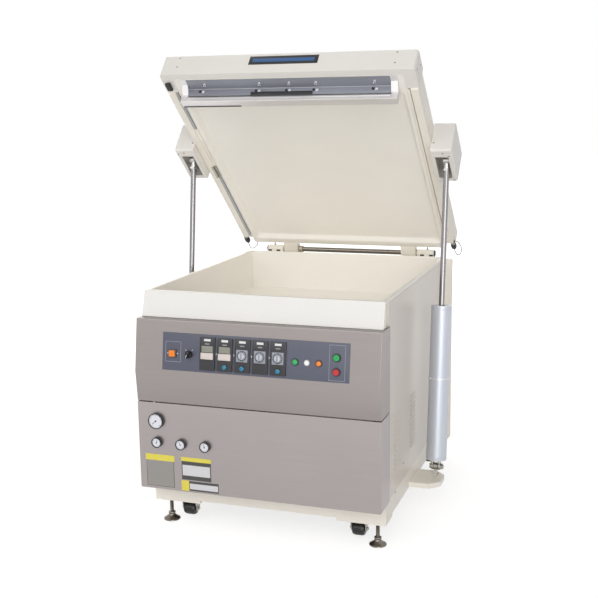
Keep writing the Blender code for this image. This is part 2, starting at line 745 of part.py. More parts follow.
def lid_liner(lid):
    """The inner panel: a thin sheet with a shallow dish pressed up into the lid."""
    half = SHELL_BODY_HALF - LID_SKIN - SEAT
    rear, front = LID_REAR + LID_SKIN + SEAT, SHELL_FRONT - LID_SKIN - SEAT
    inset, side, slope = LINER_BORDER, LINER_SIDE, LINER_SLOPE
    dish_front = BAR_FACE - BAR_BODY - LINER_SLOPE / 2
    loops = [
        (half, rear, front, SHELL_LOW),
        (half - side, rear + inset, dish_front, SHELL_LOW),
        (half - side - slope, rear + inset + slope, dish_front - slope, SHELL_LOW + LINER_DISH),
    ]
    bm = bmesh.new()
    rings = []
    for x, y0, y1, z in loops:
        corners = ((-x, -y0, z), (x, -y0, z), (x, -y1, z), (-x, -y1, z))
        rings.append([bm.verts.new(c) for c in corners])
    for low, high in zip(rings, rings[1:]):
        for k in range(4):
            bm.faces.new((low[k], low[(k + 1) % 4], high[(k + 1) % 4], high[k]))
    bm.faces.new(rings[-1])
    liner = put("lid_liner", bm, CREAM, lid)
    crease = liner.modifiers.new("creases", "BEVEL")
    crease.width = LINER_CREASE_R
    crease.segments = 3
    crease.limit_method = "ANGLE"
    crease.angle_limit = math.radians(25)
    sheet = liner.modifiers.new("sheet", "SOLIDIFY")
    sheet.thickness = LINER_SHEET
    sheet.offset = 1 if liner.data.polygons[0].normal.z > 0 else -1
    return round_shading(liner)


def front_cover(lid):
    """The cover folded round the lid's front, with its corners rounded and its underside open in a U."""
    t, half = COVER_SHEET, LID_HALF
    rear = LID_FRONT - COVER_WRAP
    outer = rounded_box_mesh((-half, -LID_FRONT, LID_LOW), (half, -rear, LID_TOP), COVER_CORNER_R, "z-")
    cover = put("front_cover", outer, WHITE, lid)
    hollow_low, hollow_high = (t - half, t - LID_FRONT, LID_LOW + t), (half - t, t - rear, LID_TOP - t)
    cut(cover, rounded_box_mesh(hollow_low, hollow_high, COVER_CORNER_R - t, "z-"))
    leg, r, lip = half - COVER_LEG, COVER_FILLET, LID_FRONT - COVER_LIP
    window = [(leg, t - rear)] + arc((leg - r, r - lip), r, 0, -90, 6)
    window += [(-x, y) for x, y in reversed(window)]
    cut(cover, prism_mesh(window, "z", LID_LOW - t, LID_LOW + 2 * t))
    return round_shading(cover)


def safety_bars(lid):
    """The bars that hang beside the lid's body, each with a bracket, and a switch at its front end."""
    high = SHELL_STEP - SEAT
    front = LID_FRONT - COVER_WRAP - SEAT
    for side, sign in SIDES:
        low_x, high_x = span(sign, SAFETY_INNER_X, SAFETY_OUTER_X)
        body = box_mesh((low_x, -front, SAFETY_LOW), (high_x, -SAFETY_REAR, high))
        bar = put(f"safety_bar_{side}", body, CREAM, lid)
        x0, x1 = span(sign, SHELL_BODY_HALF + SEAT, SAFETY_INNER_X + 0.004)
        y = -SAFETY_BRACKET_REACH
        join(bar, box_mesh((x0, y, 0.010), (x1, y + SAFETY_BRACKET_LENGTH, 0.020)))


def smooth_path(points, steps):
    """Points on one smooth curve through the given ones."""
    padded = [points[0]] + points + [points[-1]]
    path = []
    for a, b, c, d in zip(padded, padded[1:], padded[2:], padded[3:]):
        for k in range(steps):
            t = k / steps
            w = ((-t + 2 * t * t - t**3) / 2, (2 - 5 * t * t + 3 * t**3) / 2)
            w += ((t + 4 * t * t - 3 * t**3) / 2, (t**3 - t * t) / 2)
            path.append(sum((Vector(p) * f for p, f in zip((a, b, c, d), w)), Vector()))
    return path + [Vector(points[-1])]


def tube_mesh(path, radius, steps=8):
    """A round tube along a path, with its ends closed."""
    bm = bmesh.new()
    rings = []
    side = Vector((1, 0, 0))
    for k, point in enumerate(path):
        along = (path[min(k + 1, len(path) - 1)] - path[max(k - 1, 0)]).normalized()
        side = (side - along * side.dot(along)).normalized()
        up = along.cross(side)
        angles = [2 * math.pi * n / steps for n in range(steps)]
        ring = [point + radius * (side * math.cos(a) + up * math.sin(a)) for a in angles]
        rings.append([bm.verts.new(p) for p in ring])
    for near, far in zip(rings, rings[1:]):
        for n in range(steps):
            bm.faces.new((near[n], near[(n + 1) % steps], far[(n + 1) % steps], far[n]))
    bm.faces.new(rings[0])
    bm.faces.new(rings[-1])
    return bm


def safety_sensors(lid):
    """The rubber boot at each safety bar's rear end, and the short lead that loops from it to the lid."""
    rise = SAFETY_LOW + SENSOR_RISE
    for side, sign in SIDES:
        x = sign * (SAFETY_OUTER_X - SENSOR_INSET)
        start = SAFETY_REAR - SEAT
        profile = [(0, 0), (SENSOR_R * 0.75, 0), (SENSOR_R * 0.75, SENSOR_LENGTH * 0.3)]
        profile += [(SENSOR_R, SENSOR_LENGTH * 0.36), (SENSOR_R, SENSOR_LENGTH * 0.78)]
        profile += [(SENSOR_R * 0.6, SENSOR_LENGTH), (0, SENSOR_LENGTH)]
        bm = turned_mesh(profile, 20)
        bmesh.ops.rotate(bm, matrix=Matrix.Rotation(-math.pi / 2, 3, "X"), verts=bm.verts)
        bmesh.ops.translate(bm, vec=(x, -start, rise), verts=bm.verts)
        sensor = put(f"safety_sensor_{side}", bm, BLACK, lid)
        end = SENSOR_LENGTH - start
        loop = [
            (x, end - 0.004, rise),
            (x, end + 0.012, rise - 0.006),
            (x - sign * 0.010, end + 0.022, rise - 0.022),
            (x - sign * 0.026, end + 0.020, rise - 0.026),
            (x - sign * 0.046, end + 0.014, rise - 0.010),
            (x - sign * 0.050, SEAT + 1.8 * WIRE_R - LID_REAR, rise + 0.012),
            (x - sign * 0.050, SEAT + WIRE_R - LID_REAR, rise + 0.030),
        ]
        join(sensor, tube_mesh(smooth_path(loop, 4), WIRE_R))
        round_shading(sensor)


def seal_bar(lid):
    """The sealing beam: a light body between end blocks, a foot rail, and a dark folded cover."""
    top = SHELL_LOW - SEAT
    low, rear = top - BAR_DEEP, BAR_FACE - BAR_BODY
    ledge, flange = BAR_FACE + BAR_LEDGE, BAR_FACE + BAR_FLANGE
    bar = put("seal_bar", box_mesh((-BAR_HALF, -BAR_FACE, low), (BAR_HALF, -rear, top)), ALUMINIUM, lid)
    block = [(-rear, top), (-rear, low), (-ledge, low), (-ledge, low / 2)]
    block += [(BAR_SLOPE - flange, top - BAR_COVER), (-flange, top - BAR_COVER), (-flange, top)]
    for side, sign in SIDES:
        x0, x1 = span(sign, BAR_HALF - BAR_COVER, BAR_RAIL_HALF)
        join(bar, prism_mesh(block, "x", x0, x1))
    rail_low = low - BAR_RAIL_HEIGHT
    join(bar, box_mesh((-BAR_RAIL_HALF, -ledge, rail_low), (BAR_RAIL_HALF, -rear, low + BAR_RAIL_HEIGHT / 4)))
    half, front = BAR_HALF - BAR_COVER - SEAT, BAR_FACE + SEAT
    sheet = [(-front, top), (-front, top - BAR_COVER_DROP), (-front - BAR_COVER, top - BAR_COVER_DROP)]
    sheet += [(-front - BAR_COVER, top - BAR_COVER), (-flange, top - BAR_COVER), (-flange, top)]
    put("seal_bar_cover", prism_mesh(sheet, "x", -half, half), STRIP_GREY, lid)
    return bar


def hinge_shaft(lid):
    """The shaft turns with the lid: two arms reach from it to the lid's rear edge."""
    shaft = put("hinge_shaft", rod_mesh(SHAFT_R, -SHAFT_HALF, SHAFT_HALF, "x"), ZINC, lid)
    for side, sign in SIDES:
        x0, x1 = span(sign, ARM_INNER_X, ARM_OUTER_X)
        top = SHELL_STEP + ARM_R / 2
        outline = [(SEAT - LID_REAR, top), (SEAT - LID_REAR, SHELL_LOW)]
        outline += [(-ARM_R * 0.7, -ARM_R * 0.7)] + arc((0, 0), ARM_R, -90, 60, 10)
        join(shaft, prism_mesh(outline, "x", x0, x1))
        c0, c1 = span(sign, ARM_OUTER_X - 0.001, ARM_OUTER_X + COLLAR_WIDTH)
        join(shaft, rod_mesh(COLLAR_R, c0, c1, "x", steps=24))
    return round_shading(shaft)


def rod_end_boxes(lid):
    """The sheet boxes on the lid's sides: slotted below for the rod, open above a low inner wall."""
    front, rear = LID_PIVOT_REACH + BOX_AHEAD, LID_PIVOT_REACH - BOX_BEHIND
    wall_top = LUG_RISE - LUG_R - BOX_WALL_GAP
    s = BOX_SHEET
    for side, sign in SIDES:
        x0, x1 = span(sign, SHELL_HALF + SEAT - BOX_EDGE_R, BOX_OUTER_X)
        outer = rounded_box_mesh((x0, -front, BOX_LOW), (x1, -rear, BOX_HIGH), BOX_EDGE_R, "xyz")
        cover = put(f"rod_end_box_{side}", outer, WHITE, lid)
        wall = SHELL_HALF + SEAT + s
        i0, i1 = span(sign, wall, BOX_OUTER_X - s)
        cut(cover, box_mesh((i0, s - front, BOX_LOW + s), (i1, -rear - s, BOX_HIGH - s)))
        w0, w1 = span(sign, SHELL_HALF - BOX_EDGE_R * 2, wall + s)
        cut(cover, box_mesh((w0, s - front, wall_top), (w1, -rear - s, BOX_HIGH - s)))
        f0, f1 = span(sign, SHELL_HALF - BOX_EDGE_R * 2, SHELL_HALF + SEAT)
        cut(cover, box_mesh((f0, -front - s, BOX_LOW - s), (f1, s - rear, BOX_HIGH + s)))
        c0, c1 = span(sign, SLOT_INNER_X, SLOT_OUTER_X)
        near, far = LID_PIVOT_REACH - SLOT_REACH, LID_PIVOT_REACH + SLOT_REACH
        cut(cover, box_mesh((c0, -far, BOX_LOW - s), (c1, -near, BOX_LOW + 2 * s)))


def lid_lugs(lid):
    """The lug on each side of the lid that the rod's eye stands beside."""
    for side, sign in SIDES:
        low, high = span(sign, SHELL_HALF + SEAT, CYL_X - EYE_HALF_WIDTH - LUG_GAP)
        pivot = (0, -LID_PIVOT_REACH, LUG_RISE)
        lug = put(f"lid_lug_{side}", rod_mesh(LUG_R, low, high, "x", pivot, 24), ZINC, lid)
        round_shading(lug)


def controls(machine):
    dy, dz = CONSOLE_TOP_Y - CONSOLE_KINK_Y, CONSOLE_TOP_Z - CONSOLE_KINK_Z
    face = empty("console_face", machine, (0, CONSOLE_KINK_Y, CONSOLE_KINK_Z), math.atan2(dz, dy))
    top = SEAT + PLATE_THICK
    plate = put(
        "control_plate",
        box_mesh((-PLATE_HALF, PLATE_LOW, SEAT), (PLATE_HALF, PLATE_HIGH, top)),
        PLATE_BLUE,
        face,
    )
    for k in range(STRIP_COUNT):
        x = STRIP_FIRST_X + k * STRIP_PITCH
        low = (x - STRIP_WIDTH / 2, STRIP_LOW, top - 0.001)
        join(plate, box_mesh(low, (x + STRIP_WIDTH / 2, STRIP_HIGH, top + STRIP_PROUD)))
    for x in LAMP_XS:
        join(plate, rod_mesh(LAMP_R, top - 0.001, top + LAMP_PROUD, "z", (x, LAMP_ROW, 0), 24))
    half = SQUARE_LAMP_SIDE / 2
    low = (SQUARE_LAMP_X - half, LAMP_ROW - half, top - 0.001)
    join(plate, box_mesh(low, (SQUARE_LAMP_X + half, LAMP_ROW + half, top + LAMP_PROUD)))
    profile = [(0, 0), (SELECTOR_R, 0), (SELECTOR_R, 0.010), (SELECTOR_R - 0.002, 0.012), (0, 0.012)]
    knob = put("selector_knob", turned_mesh(profile), BLACK, face, (SELECTOR_X, LAMP_ROW, top + SEAT))
    grip = box_mesh((-0.004, -SELECTOR_R + 0.001, 0.011), (0.004, SELECTOR_R - 0.001, 0.024))
    join(knob, grip)
    round_shading(knob)
    for name, v, colour in (("start_button", BUTTON_ROWS[0], GREEN), ("stop_button", BUTTON_ROWS[1], RED)):
        well = BUTTON_R + BORE_CLEARANCE
        ring = [(well, 0), (well + BUTTON_RING, 0), (well + BUTTON_RING, BUTTON_RING_PROUD)]
        ring += [(well, BUTTON_RING_PROUD)]
        bm = turned_mesh(ring, 24)
        bmesh.ops.translate(bm, vec=(BUTTON_X, v, top - 0.001), verts=bm.verts)
        join(plate, bm)
        base = top + BUTTON_TRAVEL + SEAT
        profile = [(0, 0), (BUTTON_R, 0), (BUTTON_R, 0.007), (BUTTON_R - 0.002, 0.009), (0, 0.009)]
        finish = (colour, 0.35, 0.0)
        round_shading(put(name, turned_mesh(profile, 24), finish, face, (BUTTON_X, v, base)))


def gauge(name, x, z, radius, machine):
    bezel = 0.004
    back = 0.004
    profile = [(0, 0), (radius, 0), (radius, GAUGE_PROUD), (radius - bezel, GAUGE_PROUD)]
    profile += [(radius - bezel, back), (0, back)]
    bm = turned_mesh(profile)
    bmesh.ops.rotate(bm, matrix=Matrix.Rotation(math.pi / 2, 3, "X"), verts=bm.verts)
    return round_shading(put(name, bm, BLACK, machine, (x, -SEAT, z)))


def gauges(machine):
    x = GAUGE_INSET_X - HOOD_HALF
    gauge("vacuum_gauge", x, MAIN_GAUGE_Z, MAIN_GAUGE_R, machine)
    for k in range(SMALL_GAUGE_COUNT):
        place = x + k * SMALL_GAUGE_PITCH
        gauge(f"pressure_gauge_{k + 1}", place, SMALL_GAUGE_Z, SMALL_GAUGE_R, machine)


def centre_over_origin(machine):
    """Shifts the machine so that its bounding box stands centred over the origin, front to back."""
    bpy.context.view_layer.update()
    graph = bpy.context.evaluated_depsgraph_get()
    reach = []
    for obj in bpy.data.objects:
        if obj.type == "MESH":
            shape = obj.evaluated_get(graph)
            reach += [(shape.matrix_world @ v.co).y for v in shape.data.vertices]
    machine.location.y = -(min(reach) + max(reach)) / 2


def build():
    machine = empty("machine", None, (0, 0, 0))
    vacuum_chamber(machine)
    front_hood(machine)
    base_frame(machine)
    feet_y = (("front", BASE_FRONT_Y + FOOT_INSET_Y), ("rear", RIM_REAR_Y - FOOT_INSET_Y))
    casters_y = (("front", BASE_FRONT_Y + CASTER_INSET_Y), ("rear", RIM_REAR_Y - CASTER_INSET_Y))
    for side, sign in SIDES:
        for end, y in feet_y:
            levelling_foot(f"foot_{end}_{side}", sign * FOOT_X, y, machine)
        for end, y in casters_y:
            caster(end, side, sign, y, machine)
    side_panels(machine)
    rear_panel(machine)
    hinge_beam(machine)
    bearings(machine)
    cylinder_brackets(machine)
    cylinders(machine)
    controls(machine)
    gauges(machine)
    lid = empty("lid", machine, (0, HINGE_Y, HINGE_Z), -OPEN_ANGLE)
    lid_shell(lid)
    lid_liner(lid)
    front_cover(lid)
    safety_bars(lid)
    safety_sensors(lid)
    seal_bar(lid)
    hinge_shaft(lid)
    rod_end_boxes(lid)
    lid_lugs(lid)
    centre_over_origin(machine)


build()
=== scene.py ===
"""Looks of the compression packaging machine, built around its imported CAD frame.
Metres, +Z up, front towards -Y, as in the frame."""

import json
import math

import bmesh
import bpy
from mathutils import Matrix, Vector


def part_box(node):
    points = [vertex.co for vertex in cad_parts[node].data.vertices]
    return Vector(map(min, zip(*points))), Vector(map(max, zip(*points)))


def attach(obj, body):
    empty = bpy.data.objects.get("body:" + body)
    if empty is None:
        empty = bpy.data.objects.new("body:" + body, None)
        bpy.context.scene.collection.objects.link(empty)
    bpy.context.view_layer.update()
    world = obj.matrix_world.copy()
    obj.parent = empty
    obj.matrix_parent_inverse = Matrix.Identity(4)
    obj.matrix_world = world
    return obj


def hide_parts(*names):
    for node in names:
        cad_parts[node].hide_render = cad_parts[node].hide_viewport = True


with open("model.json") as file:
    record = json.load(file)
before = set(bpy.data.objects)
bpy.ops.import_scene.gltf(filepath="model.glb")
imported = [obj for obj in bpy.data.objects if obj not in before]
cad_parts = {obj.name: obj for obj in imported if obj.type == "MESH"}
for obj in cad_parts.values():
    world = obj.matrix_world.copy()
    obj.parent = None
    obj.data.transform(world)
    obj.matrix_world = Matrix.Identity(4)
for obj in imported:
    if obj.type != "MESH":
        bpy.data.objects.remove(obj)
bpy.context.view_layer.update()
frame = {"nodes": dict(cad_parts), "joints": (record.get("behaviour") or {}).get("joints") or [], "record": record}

JOINTS = {j["name"]: j for j in frame["joints"]}
BODY_OF = {node: body for body, nodes in frame["record"]["behaviour"]["bodies"].items() for node in nodes}
SIDES = (("left", -1), ("right", 1))
ENDS = ("front", "rear")
SHARP_FROM = math.radians(28)

# The body: its front plane, the leaning console face with its plate, and where finishes change
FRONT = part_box("lower_front_panel")[0].y
PANEL = Matrix.Translation((0, FRONT, 0)) @ Matrix.Rotation(math.pi / 2, 4, "X")
KINK = Vector((0, FRONT - 0.010, 0.699))
FACE_UP = Vector((0, 0.031, 0.2157)).normalized()
FACE_OUT = Vector((0, -FACE_UP.z, FACE_UP.y))
FACE = Matrix.Translation(KINK) @ Matrix((Vector((1, 0, 0)), FACE_UP, FACE_OUT)).transposed().to_4x4()
PLATE_TOP = 0.0028
STRIP_PITCH = 0.0745
STRIP_X = [-0.1935 + STRIP_PITCH * k for k in range(5)]
STRIP_LOW, STRIP_HIGH, STRIP_HALF = 0.026, 0.158, 0.03225
STRIP_TOP = PLATE_TOP + 0.007
BUTTON_ROW = 0.084
APRON_BACK = FRONT + 0.095
BRACKET_TOP = 0.1405

# The lid's own frame: reach from the hinge and rise from its plane. OPEN is its angle at rest.
HINGE = Vector(JOINTS["lid_hinge"]["pos_m"])
OPEN = math.radians(JOINTS["lid_hinge"]["range_deg"][1])
LID = Matrix.Translation(HINGE) @ Matrix.Rotation(-OPEN, 4, "X")
LID_FRONT, LID_SIDE = 1.307, 0.550
BODY_SIDE, BAR_SIDE = 0.502, 0.514
BOX_UNDER, BOX_FRONT = -0.040, 0.858
BAR_FOLD, BAR_FACE, BAR_UNDER, BAR_HALF = 0.0035, 1.2135, -0.060, 0.4412
BAR_FLANGE, BAR_DROP, BAR_SHEET = 1.268, -0.033, 0.0025
SHAFT_R, ARM_INNER, ARM_OUTER, BEARING_OUTER = 0.012, 0.272, 0.345, 0.436

# The cylinders, along z from the pivot at their foot
TUBE_R, TUBE_START, TUBE_END, TUBE_CAP = 0.0444, 0.030, 0.712, 0.016
BORE_R, ROD_R, PIN_R = 0.040, 0.0125, 0.008
EYE_R, EYE_HALF = 0.022, 0.014
CLAMP_AT = 0.390
LID_PIVOT_REACH, LID_PIVOT_RISE = 0.740, 0.004


# Materials

def link(tree, out, inp):
    tree.links.new(out, inp)


def add(tree, kind, **values):
    """A node with its inputs or settings filled in by name."""
    made = tree.nodes.new(kind)
    for key, value in values.items():
        if key in made.inputs:
            made.inputs[key].default_value = value
        else:
            setattr(made, key, value)
    return made


def noise(tree, coords, stretch, detail=3.0, rough=0.5):
    mapping = add(tree, "ShaderNodeMapping", Scale=stretch)
    link(tree, coords, mapping.inputs["Vector"])
    made = add(tree, "ShaderNodeTexNoise", Scale=1.0, Detail=detail, Roughness=rough)
    link(tree, mapping.outputs["Vector"], made.inputs["Vector"])
    return made.outputs["Fac"]


def spread(tree, value, low, high, from_low=0.3, from_high=0.7):
    """A value's middle range, spread from low to high."""
    made = add(tree, "ShaderNodeMapRange")
    ends = {"From Min": from_low, "From Max": from_high, "To Min": low, "To Max": high}
    for key, number in ends.items():
        made.inputs[key].default_value = number
    link(tree, value, made.inputs["Value"])
    return made.outputs["Result"]


def material(name, colour, roughness, metallic=0.0, tone=0.02, tone_size=(2.5, 2.5, 2.5), grain=0.0,
             grain_size=(60, 60, 60), bump=0.0, bump_size=(900, 900, 900), uneven=0.04, spec=None, glow=0.0):
    """A surface with broad tone, fine grain and a fine relief, from noise in the object's own space."""
    made = bpy.data.materials.new(name)
    made.use_nodes = True
    tree = made.node_tree
    shader = tree.nodes["Principled BSDF"]
    shader.inputs["Metallic"].default_value = metallic
    if spec is not None:
        shader.inputs["Specular IOR Level"].default_value = spec
    if glow:
        shader.inputs["Emission Color"].default_value = (*colour, 1)
        shader.inputs["Emission Strength"].default_value = glow
    coords = add(tree, "ShaderNodeTexCoord").outputs["Object"]
    broad = noise(tree, coords, tone_size)
    fine = noise(tree, coords, grain_size, 4.0, 0.6)
    mixed = add(tree, "ShaderNodeMix", data_type="RGBA", blend_type="MIX")
    ends = [tuple(max(0.0, min(1.0, c * (1 + s * tone))) for c in colour) + (1,) for s in (-1, 1)]
    mixed.inputs[6].default_value, mixed.inputs[7].default_value = ends
    link(tree, spread(tree, broad, 0.0, 1.0), mixed.inputs[0])
    scaled = add(tree, "ShaderNodeVectorMath", operation="SCALE")
    link(tree, mixed.outputs[2], scaled.inputs[0])
    link(tree, spread(tree, fine, 1 - grain, 1 + grain), scaled.inputs["Scale"])
    link(tree, scaled.outputs[0], shader.inputs["Base Color"])
    rough = spread(tree, fine if grain else broad, roughness - uneven, roughness + uneven)
    link(tree, rough, shader.inputs["Roughness"])
    if bump:
        relief = add(tree, "ShaderNodeBump", Strength=1.0, Distance=bump)
        link(tree, noise(tree, coords, bump_size, 2.0), relief.inputs["Height"])
        link(tree, relief.outputs["Normal"], shader.inputs["Normal"])
    return made


def srgb(r, g, b):
    return tuple((v / 255 / 12.92) if v <= 10 else ((v / 255 + 0.055) / 1.055) ** 2.4 for v in (r, g, b))


PAINT = dict(grain=0.006, bump=0.00006, bump_size=(420, 420, 420))
BRUSH = (3, 3, 700)
BRUSHED = dict(tone=0.035, tone_size=(1.2, 1.2, 2.2), grain=0.05, grain_size=BRUSH, bump=0.00002,
               bump_size=BRUSH, uneven=0.05)
DRAWN = (4, 300, 300)
LAMP = dict(tone=0.05)

# Each finish: its colour, roughness and share of metal, and what else its surface has
FINISHES = {
    "cream": ((246, 240, 229), 0.40, 0.0, PAINT),
    "tub": ((250, 246, 238), 0.36, 0.0, PAINT),
    "white": ((235, 231, 225), 0.40, 0.0, PAINT),
    # the tub's paint made darker, as painted shade on the apron's front faces
    "apron_painted_shade": ((234, 232, 228), 0.36, 0.0, PAINT),
    # the cream paint made darker, as painted shade on the machine's sides
    "panel": ((228, 219, 209), 0.30, 0.0, dict(tone=0.01, uneven=0.01, spec=0.25)),
    "stainless": ((164, 157, 156), 0.36, 0.92, BRUSHED),
    # a darker copy of the lower panel's stainless steel, as painted shade on the console
    "satin": ((149, 142, 140), 0.38, 0.92, BRUSHED),
    "aluminium": ((202, 206, 215), 0.36, 0.35,
                  dict(grain=0.015, grain_size=(300, 300, 6), bump=0.00001, bump_size=(500, 500, 8))),
    "rail": ((228, 225, 225), 0.34, 0.70, dict(grain=0.02, grain_size=DRAWN)),
    "chrome": ((142, 139, 140), 0.20, 1.0, dict(uneven=0.02)),
    "plated": ((196, 195, 192), 0.26, 0.85, dict(tone=0.05, tone_size=(50, 50, 50))),
    "zinc": ((168, 165, 158), 0.30, 0.95, dict(tone=0.08, tone_size=(40, 40, 40), grain=0.05)),
    "shaft": ((128, 122, 114), 0.22, 1.0, dict(tone=0.04)),
    "collar": ((176, 166, 148), 0.42, 0.5, dict(tone=0.16, tone_size=(160, 160, 160))),
    "steel": ((122, 116, 108), 0.28, 1.0, dict(tone=0.1, tone_size=(30, 30, 30))),
    "dark_steel": ((70, 66, 62), 0.34, 0.9, dict(tone=0.15, tone_size=(60, 60, 60))),
    "grey_metal": ((150, 146, 140), 0.42, 0.6, {}),
    "bar_cover": ((138, 141, 150), 0.38, 0.35, dict(tone=0.05, grain=0.03, grain_size=DRAWN)),
    "plate": ((85, 88, 103), 0.42, 0.0, dict(tone=0.03, bump=0.00003)),
    "strip": ((43, 41, 44), 0.30, 0.0, dict(tone=0.06)),
    # near-black, painted as the shade of the recess round each teal lamp
    "lamp_recess_shade": ((26, 25, 27), 0.5, 0.0, {}),
    "window": ((142, 141, 130), 0.25, 0.0, {}),
    "flap": ((218, 206, 200), 0.4, 0.0, {}),
    "dial_grey": ((150, 153, 163), 0.35, 0.0, {}),
    "dial_dark": ((70, 72, 82), 0.4, 0.0, {}),
    "knob_light": ((198, 200, 208), 0.3, 0.0, {}),
    "line": ((168, 170, 182), 0.5, 0.0, {}),
    "print": ((226, 226, 228), 0.5, 0.0, {}),
    "print_grey": ((150, 150, 154), 0.5, 0.0, {}),
    "black": ((24, 23, 24), 0.32, 0.0, dict(tone=0.1)),
    "rubber": ((38, 37, 39), 0.55, 0.0, dict(tone=0.15, bump=0.0001, bump_size=(300, 300, 300))),
    "wheel": ((9, 9, 10), 0.34, 0.0, dict(tone=0.2, tone_size=(40, 40, 40))),
    "wire_dark": ((84, 84, 90), 0.45, 0.0, {}),
    "orange": ((234, 128, 28), 0.28, 0.0, dict(glow=0.12, **LAMP)),
    "green": ((40, 166, 88), 0.28, 0.0, dict(glow=0.05, **LAMP)),
    "white_lamp": ((236, 238, 242), 0.25, 0.0, dict(glow=0.12, **LAMP)),
    "teal": ((26, 118, 150), 0.22, 0.0, dict(glow=0.08, **LAMP)),
    "red": ((196, 52, 52), 0.3, 0.0, {}),
    "dark_ring": ((58, 60, 68), 0.35, 0.0, {}),
    "gauge_face": ((228, 229, 236), 0.4, 0.0, {}),
    "yellow": ((226, 212, 84), 0.45, 0.0, {}),
    "label_grey": ((150, 146, 142), 0.45, 0.0, {}),
    "label_white": ((214, 213, 216), 0.45, 0.0, {}),
    "label_dark": ((72, 70, 68), 0.45, 0.0, {}),
    "name_black": ((20, 22, 26), 0.3, 0.0, {}),
    "name_blue": ((50, 92, 142), 0.35, 0.0, {}),
    "shadow_gap": ((58, 56, 54), 0.6, 0.0, {}),
}
MATERIALS = {
    name: material(name, srgb(*colour), roughness, metallic, **more)
    for name, (colour, roughness, metallic, more) in FINISHES.items()
}


# Meshes

def turns(steps):
    """The angles of evenly spaced steps round a circle."""
    return [2 * math.pi * k / steps for k in range(steps)]


def moved(bm, matrix):
    bmesh.ops.transform(bm, matrix=matrix, verts=bm.verts)
    return bm


def about(x, y, degrees):
    """A turn about z, then a move to x and y."""
    return Matrix.Translation((x, y, 0)) @ Matrix.Rotation(math.radians(degrees), 4, "Z")


def round_edges(bm, edges, offset, segments=2, **more):
    bmesh.ops.bevel(bm, geom=edges, offset=offset, segments=segments, profile=0.5, affect="EDGES", **more)


def box_mesh(low, high, radius=0.0):
    bm = bmesh.new()
    bmesh.ops.create_cube(bm, size=1)
    low, high = Vector(low), Vector(high)
    bmesh.ops.scale(bm, vec=high - low, verts=bm.verts)
    bmesh.ops.translate(bm, vec=(low + high) / 2, verts=bm.verts)
    if radius:
        round_edges(bm, bm.edges[:], radius)
    return bm


def tile(x, v, across, up, low, high, radius=0.0):
    """A box centred at x and v on the console's face, from its half sizes and its two heights."""
    return box_mesh((x - across, v - up, low), (x + across, v + up, high), radius)


def lid_box(x0, x1, near, far, low, high, radius=0.0):
    """A box in the lid's own frame, from one reach and rise to another."""
    return box_mesh((min(x0, x1), -far, low), (max(x0, x1), -near, high), radius)


def turned_mesh(profile, steps=64, centre=(0, 0, 0), axis="z"):
    """A profile of (radius, height) spun round an axis. Ends on the axis close, others join up."""
    bm = bmesh.new()
    rings = []
    for radius, height in profile:
        ring = [(radius * math.cos(a), radius * math.sin(a), height) for a in turns(steps)]
        rings.append([bm.verts.new(p) for p in (ring if radius > 1e-9 else [(0, 0, height)])])
    closed = profile[0][0] > 1e-9
    pairs = zip(rings, rings[1:] + rings[:1]) if closed else zip(rings, rings[1:])
    for near, far in pairs:
        for k in range(steps):
            n = (k + 1) % steps
            corners = [near[k % len(near)], near[n % len(near)], far[n % len(far)], far[k % len(far)]]
            corners = list(dict.fromkeys(corners))
            if len(corners) > 2:
                bm.faces.new(corners)
    if axis == "x":
        bmesh.ops.rotate(bm, matrix=Matrix.Rotation(math.pi / 2, 3, "Y"), verts=bm.verts)
    bmesh.ops.translate(bm, vec=centre, verts=bm.verts)
    return bm


def disc_mesh(radius, low, high, centre=(0, 0, 0), axis="z", steps=48, edge=0.0):
    """A plain round piece along an axis, with its rims rounded by an edge radius."""
    profile = [(0, low), (radius - edge, low), (radius, low + edge), (radius, high - edge)]
    profile += [(radius - edge, high), (0, high)]
    if not edge:
        profile = [(0, low), (radius, low), (radius, high), (0, high)]
    return turned_mesh(profile, steps, centre, axis)


def prism_mesh(outline, axis, low, high, radius=0.0):
    """An outline extruded along x or z. Its points are (y, z) for x and (x, y) for z."""
    bm = bmesh.new()
    points = [(low, *p) if axis == "x" else (*p, low) for p in outline]
    face = bm.faces.new([bm.verts.new(p) for p in points])
    extruded = bmesh.ops.extrude_face_region(bm, geom=[face])["geom"]
    along = Vector((1, 0, 0)) if axis == "x" else Vector((0, 0, 1))
    ends = [v for v in extruded if isinstance(v, bmesh.types.BMVert)]
    bmesh.ops.translate(bm, vec=along * (high - low), verts=ends)
    if radius:
        round_edges(bm, bm.edges[:], radius)
    return bm


def tube_mesh(points, radius):
    """A round tube on one smooth curve through points."""
    steps, per = 12, 6
    points = [Vector(p) for p in points]
    padded = [points[0]] + points + [points[-1]]
    path = []
    for a, b, c, d in zip(padded, padded[1:], padded[2:], padded[3:]):
        for k in range(per):
            t = k / per
            w = ((-t + 2 * t * t - t**3) / 2, (2 - 5 * t * t + 3 * t**3) / 2)
            w += ((t + 4 * t * t - 3 * t**3) / 2, (t**3 - t * t) / 2)
            path.append(a * w[0] + b * w[1] + c * w[2] + d * w[3])
    path.append(points[-1])
    bm = bmesh.new()
    rings = []
    side = Vector((1, 0, 0))
    if abs((path[1] - path[0]).normalized().x) > 0.9:
        side = Vector((0, 0, 1))
    for k, point in enumerate(path):
        along = (path[min(k + 1, len(path) - 1)] - path[max(k - 1, 0)]).normalized()
        side = (side - along * side.dot(along)).normalized()
        up = along.cross(side)
        ring = [point + radius * (side * math.cos(a) + up * math.sin(a)) for a in turns(steps)]
        rings.append([bm.verts.new(p) for p in ring])
    for near, far in zip(rings, rings[1:]):
        for n in range(steps):
            bm.faces.new((near[n], near[(n + 1) % steps], far[(n + 1) % steps], far[n]))
    bm.faces.new(rings[0])
    bm.faces.new(rings[-1])
    return bm


def merged(parts):
    """Several meshes as one."""
    whole = bmesh.new()
    for bm in parts:
        mesh = bpy.data.meshes.new("part")
        bm.to_mesh(mesh)
        bm.free()
        whole.from_mesh(mesh)
        bpy.data.meshes.remove(mesh)
    return whole


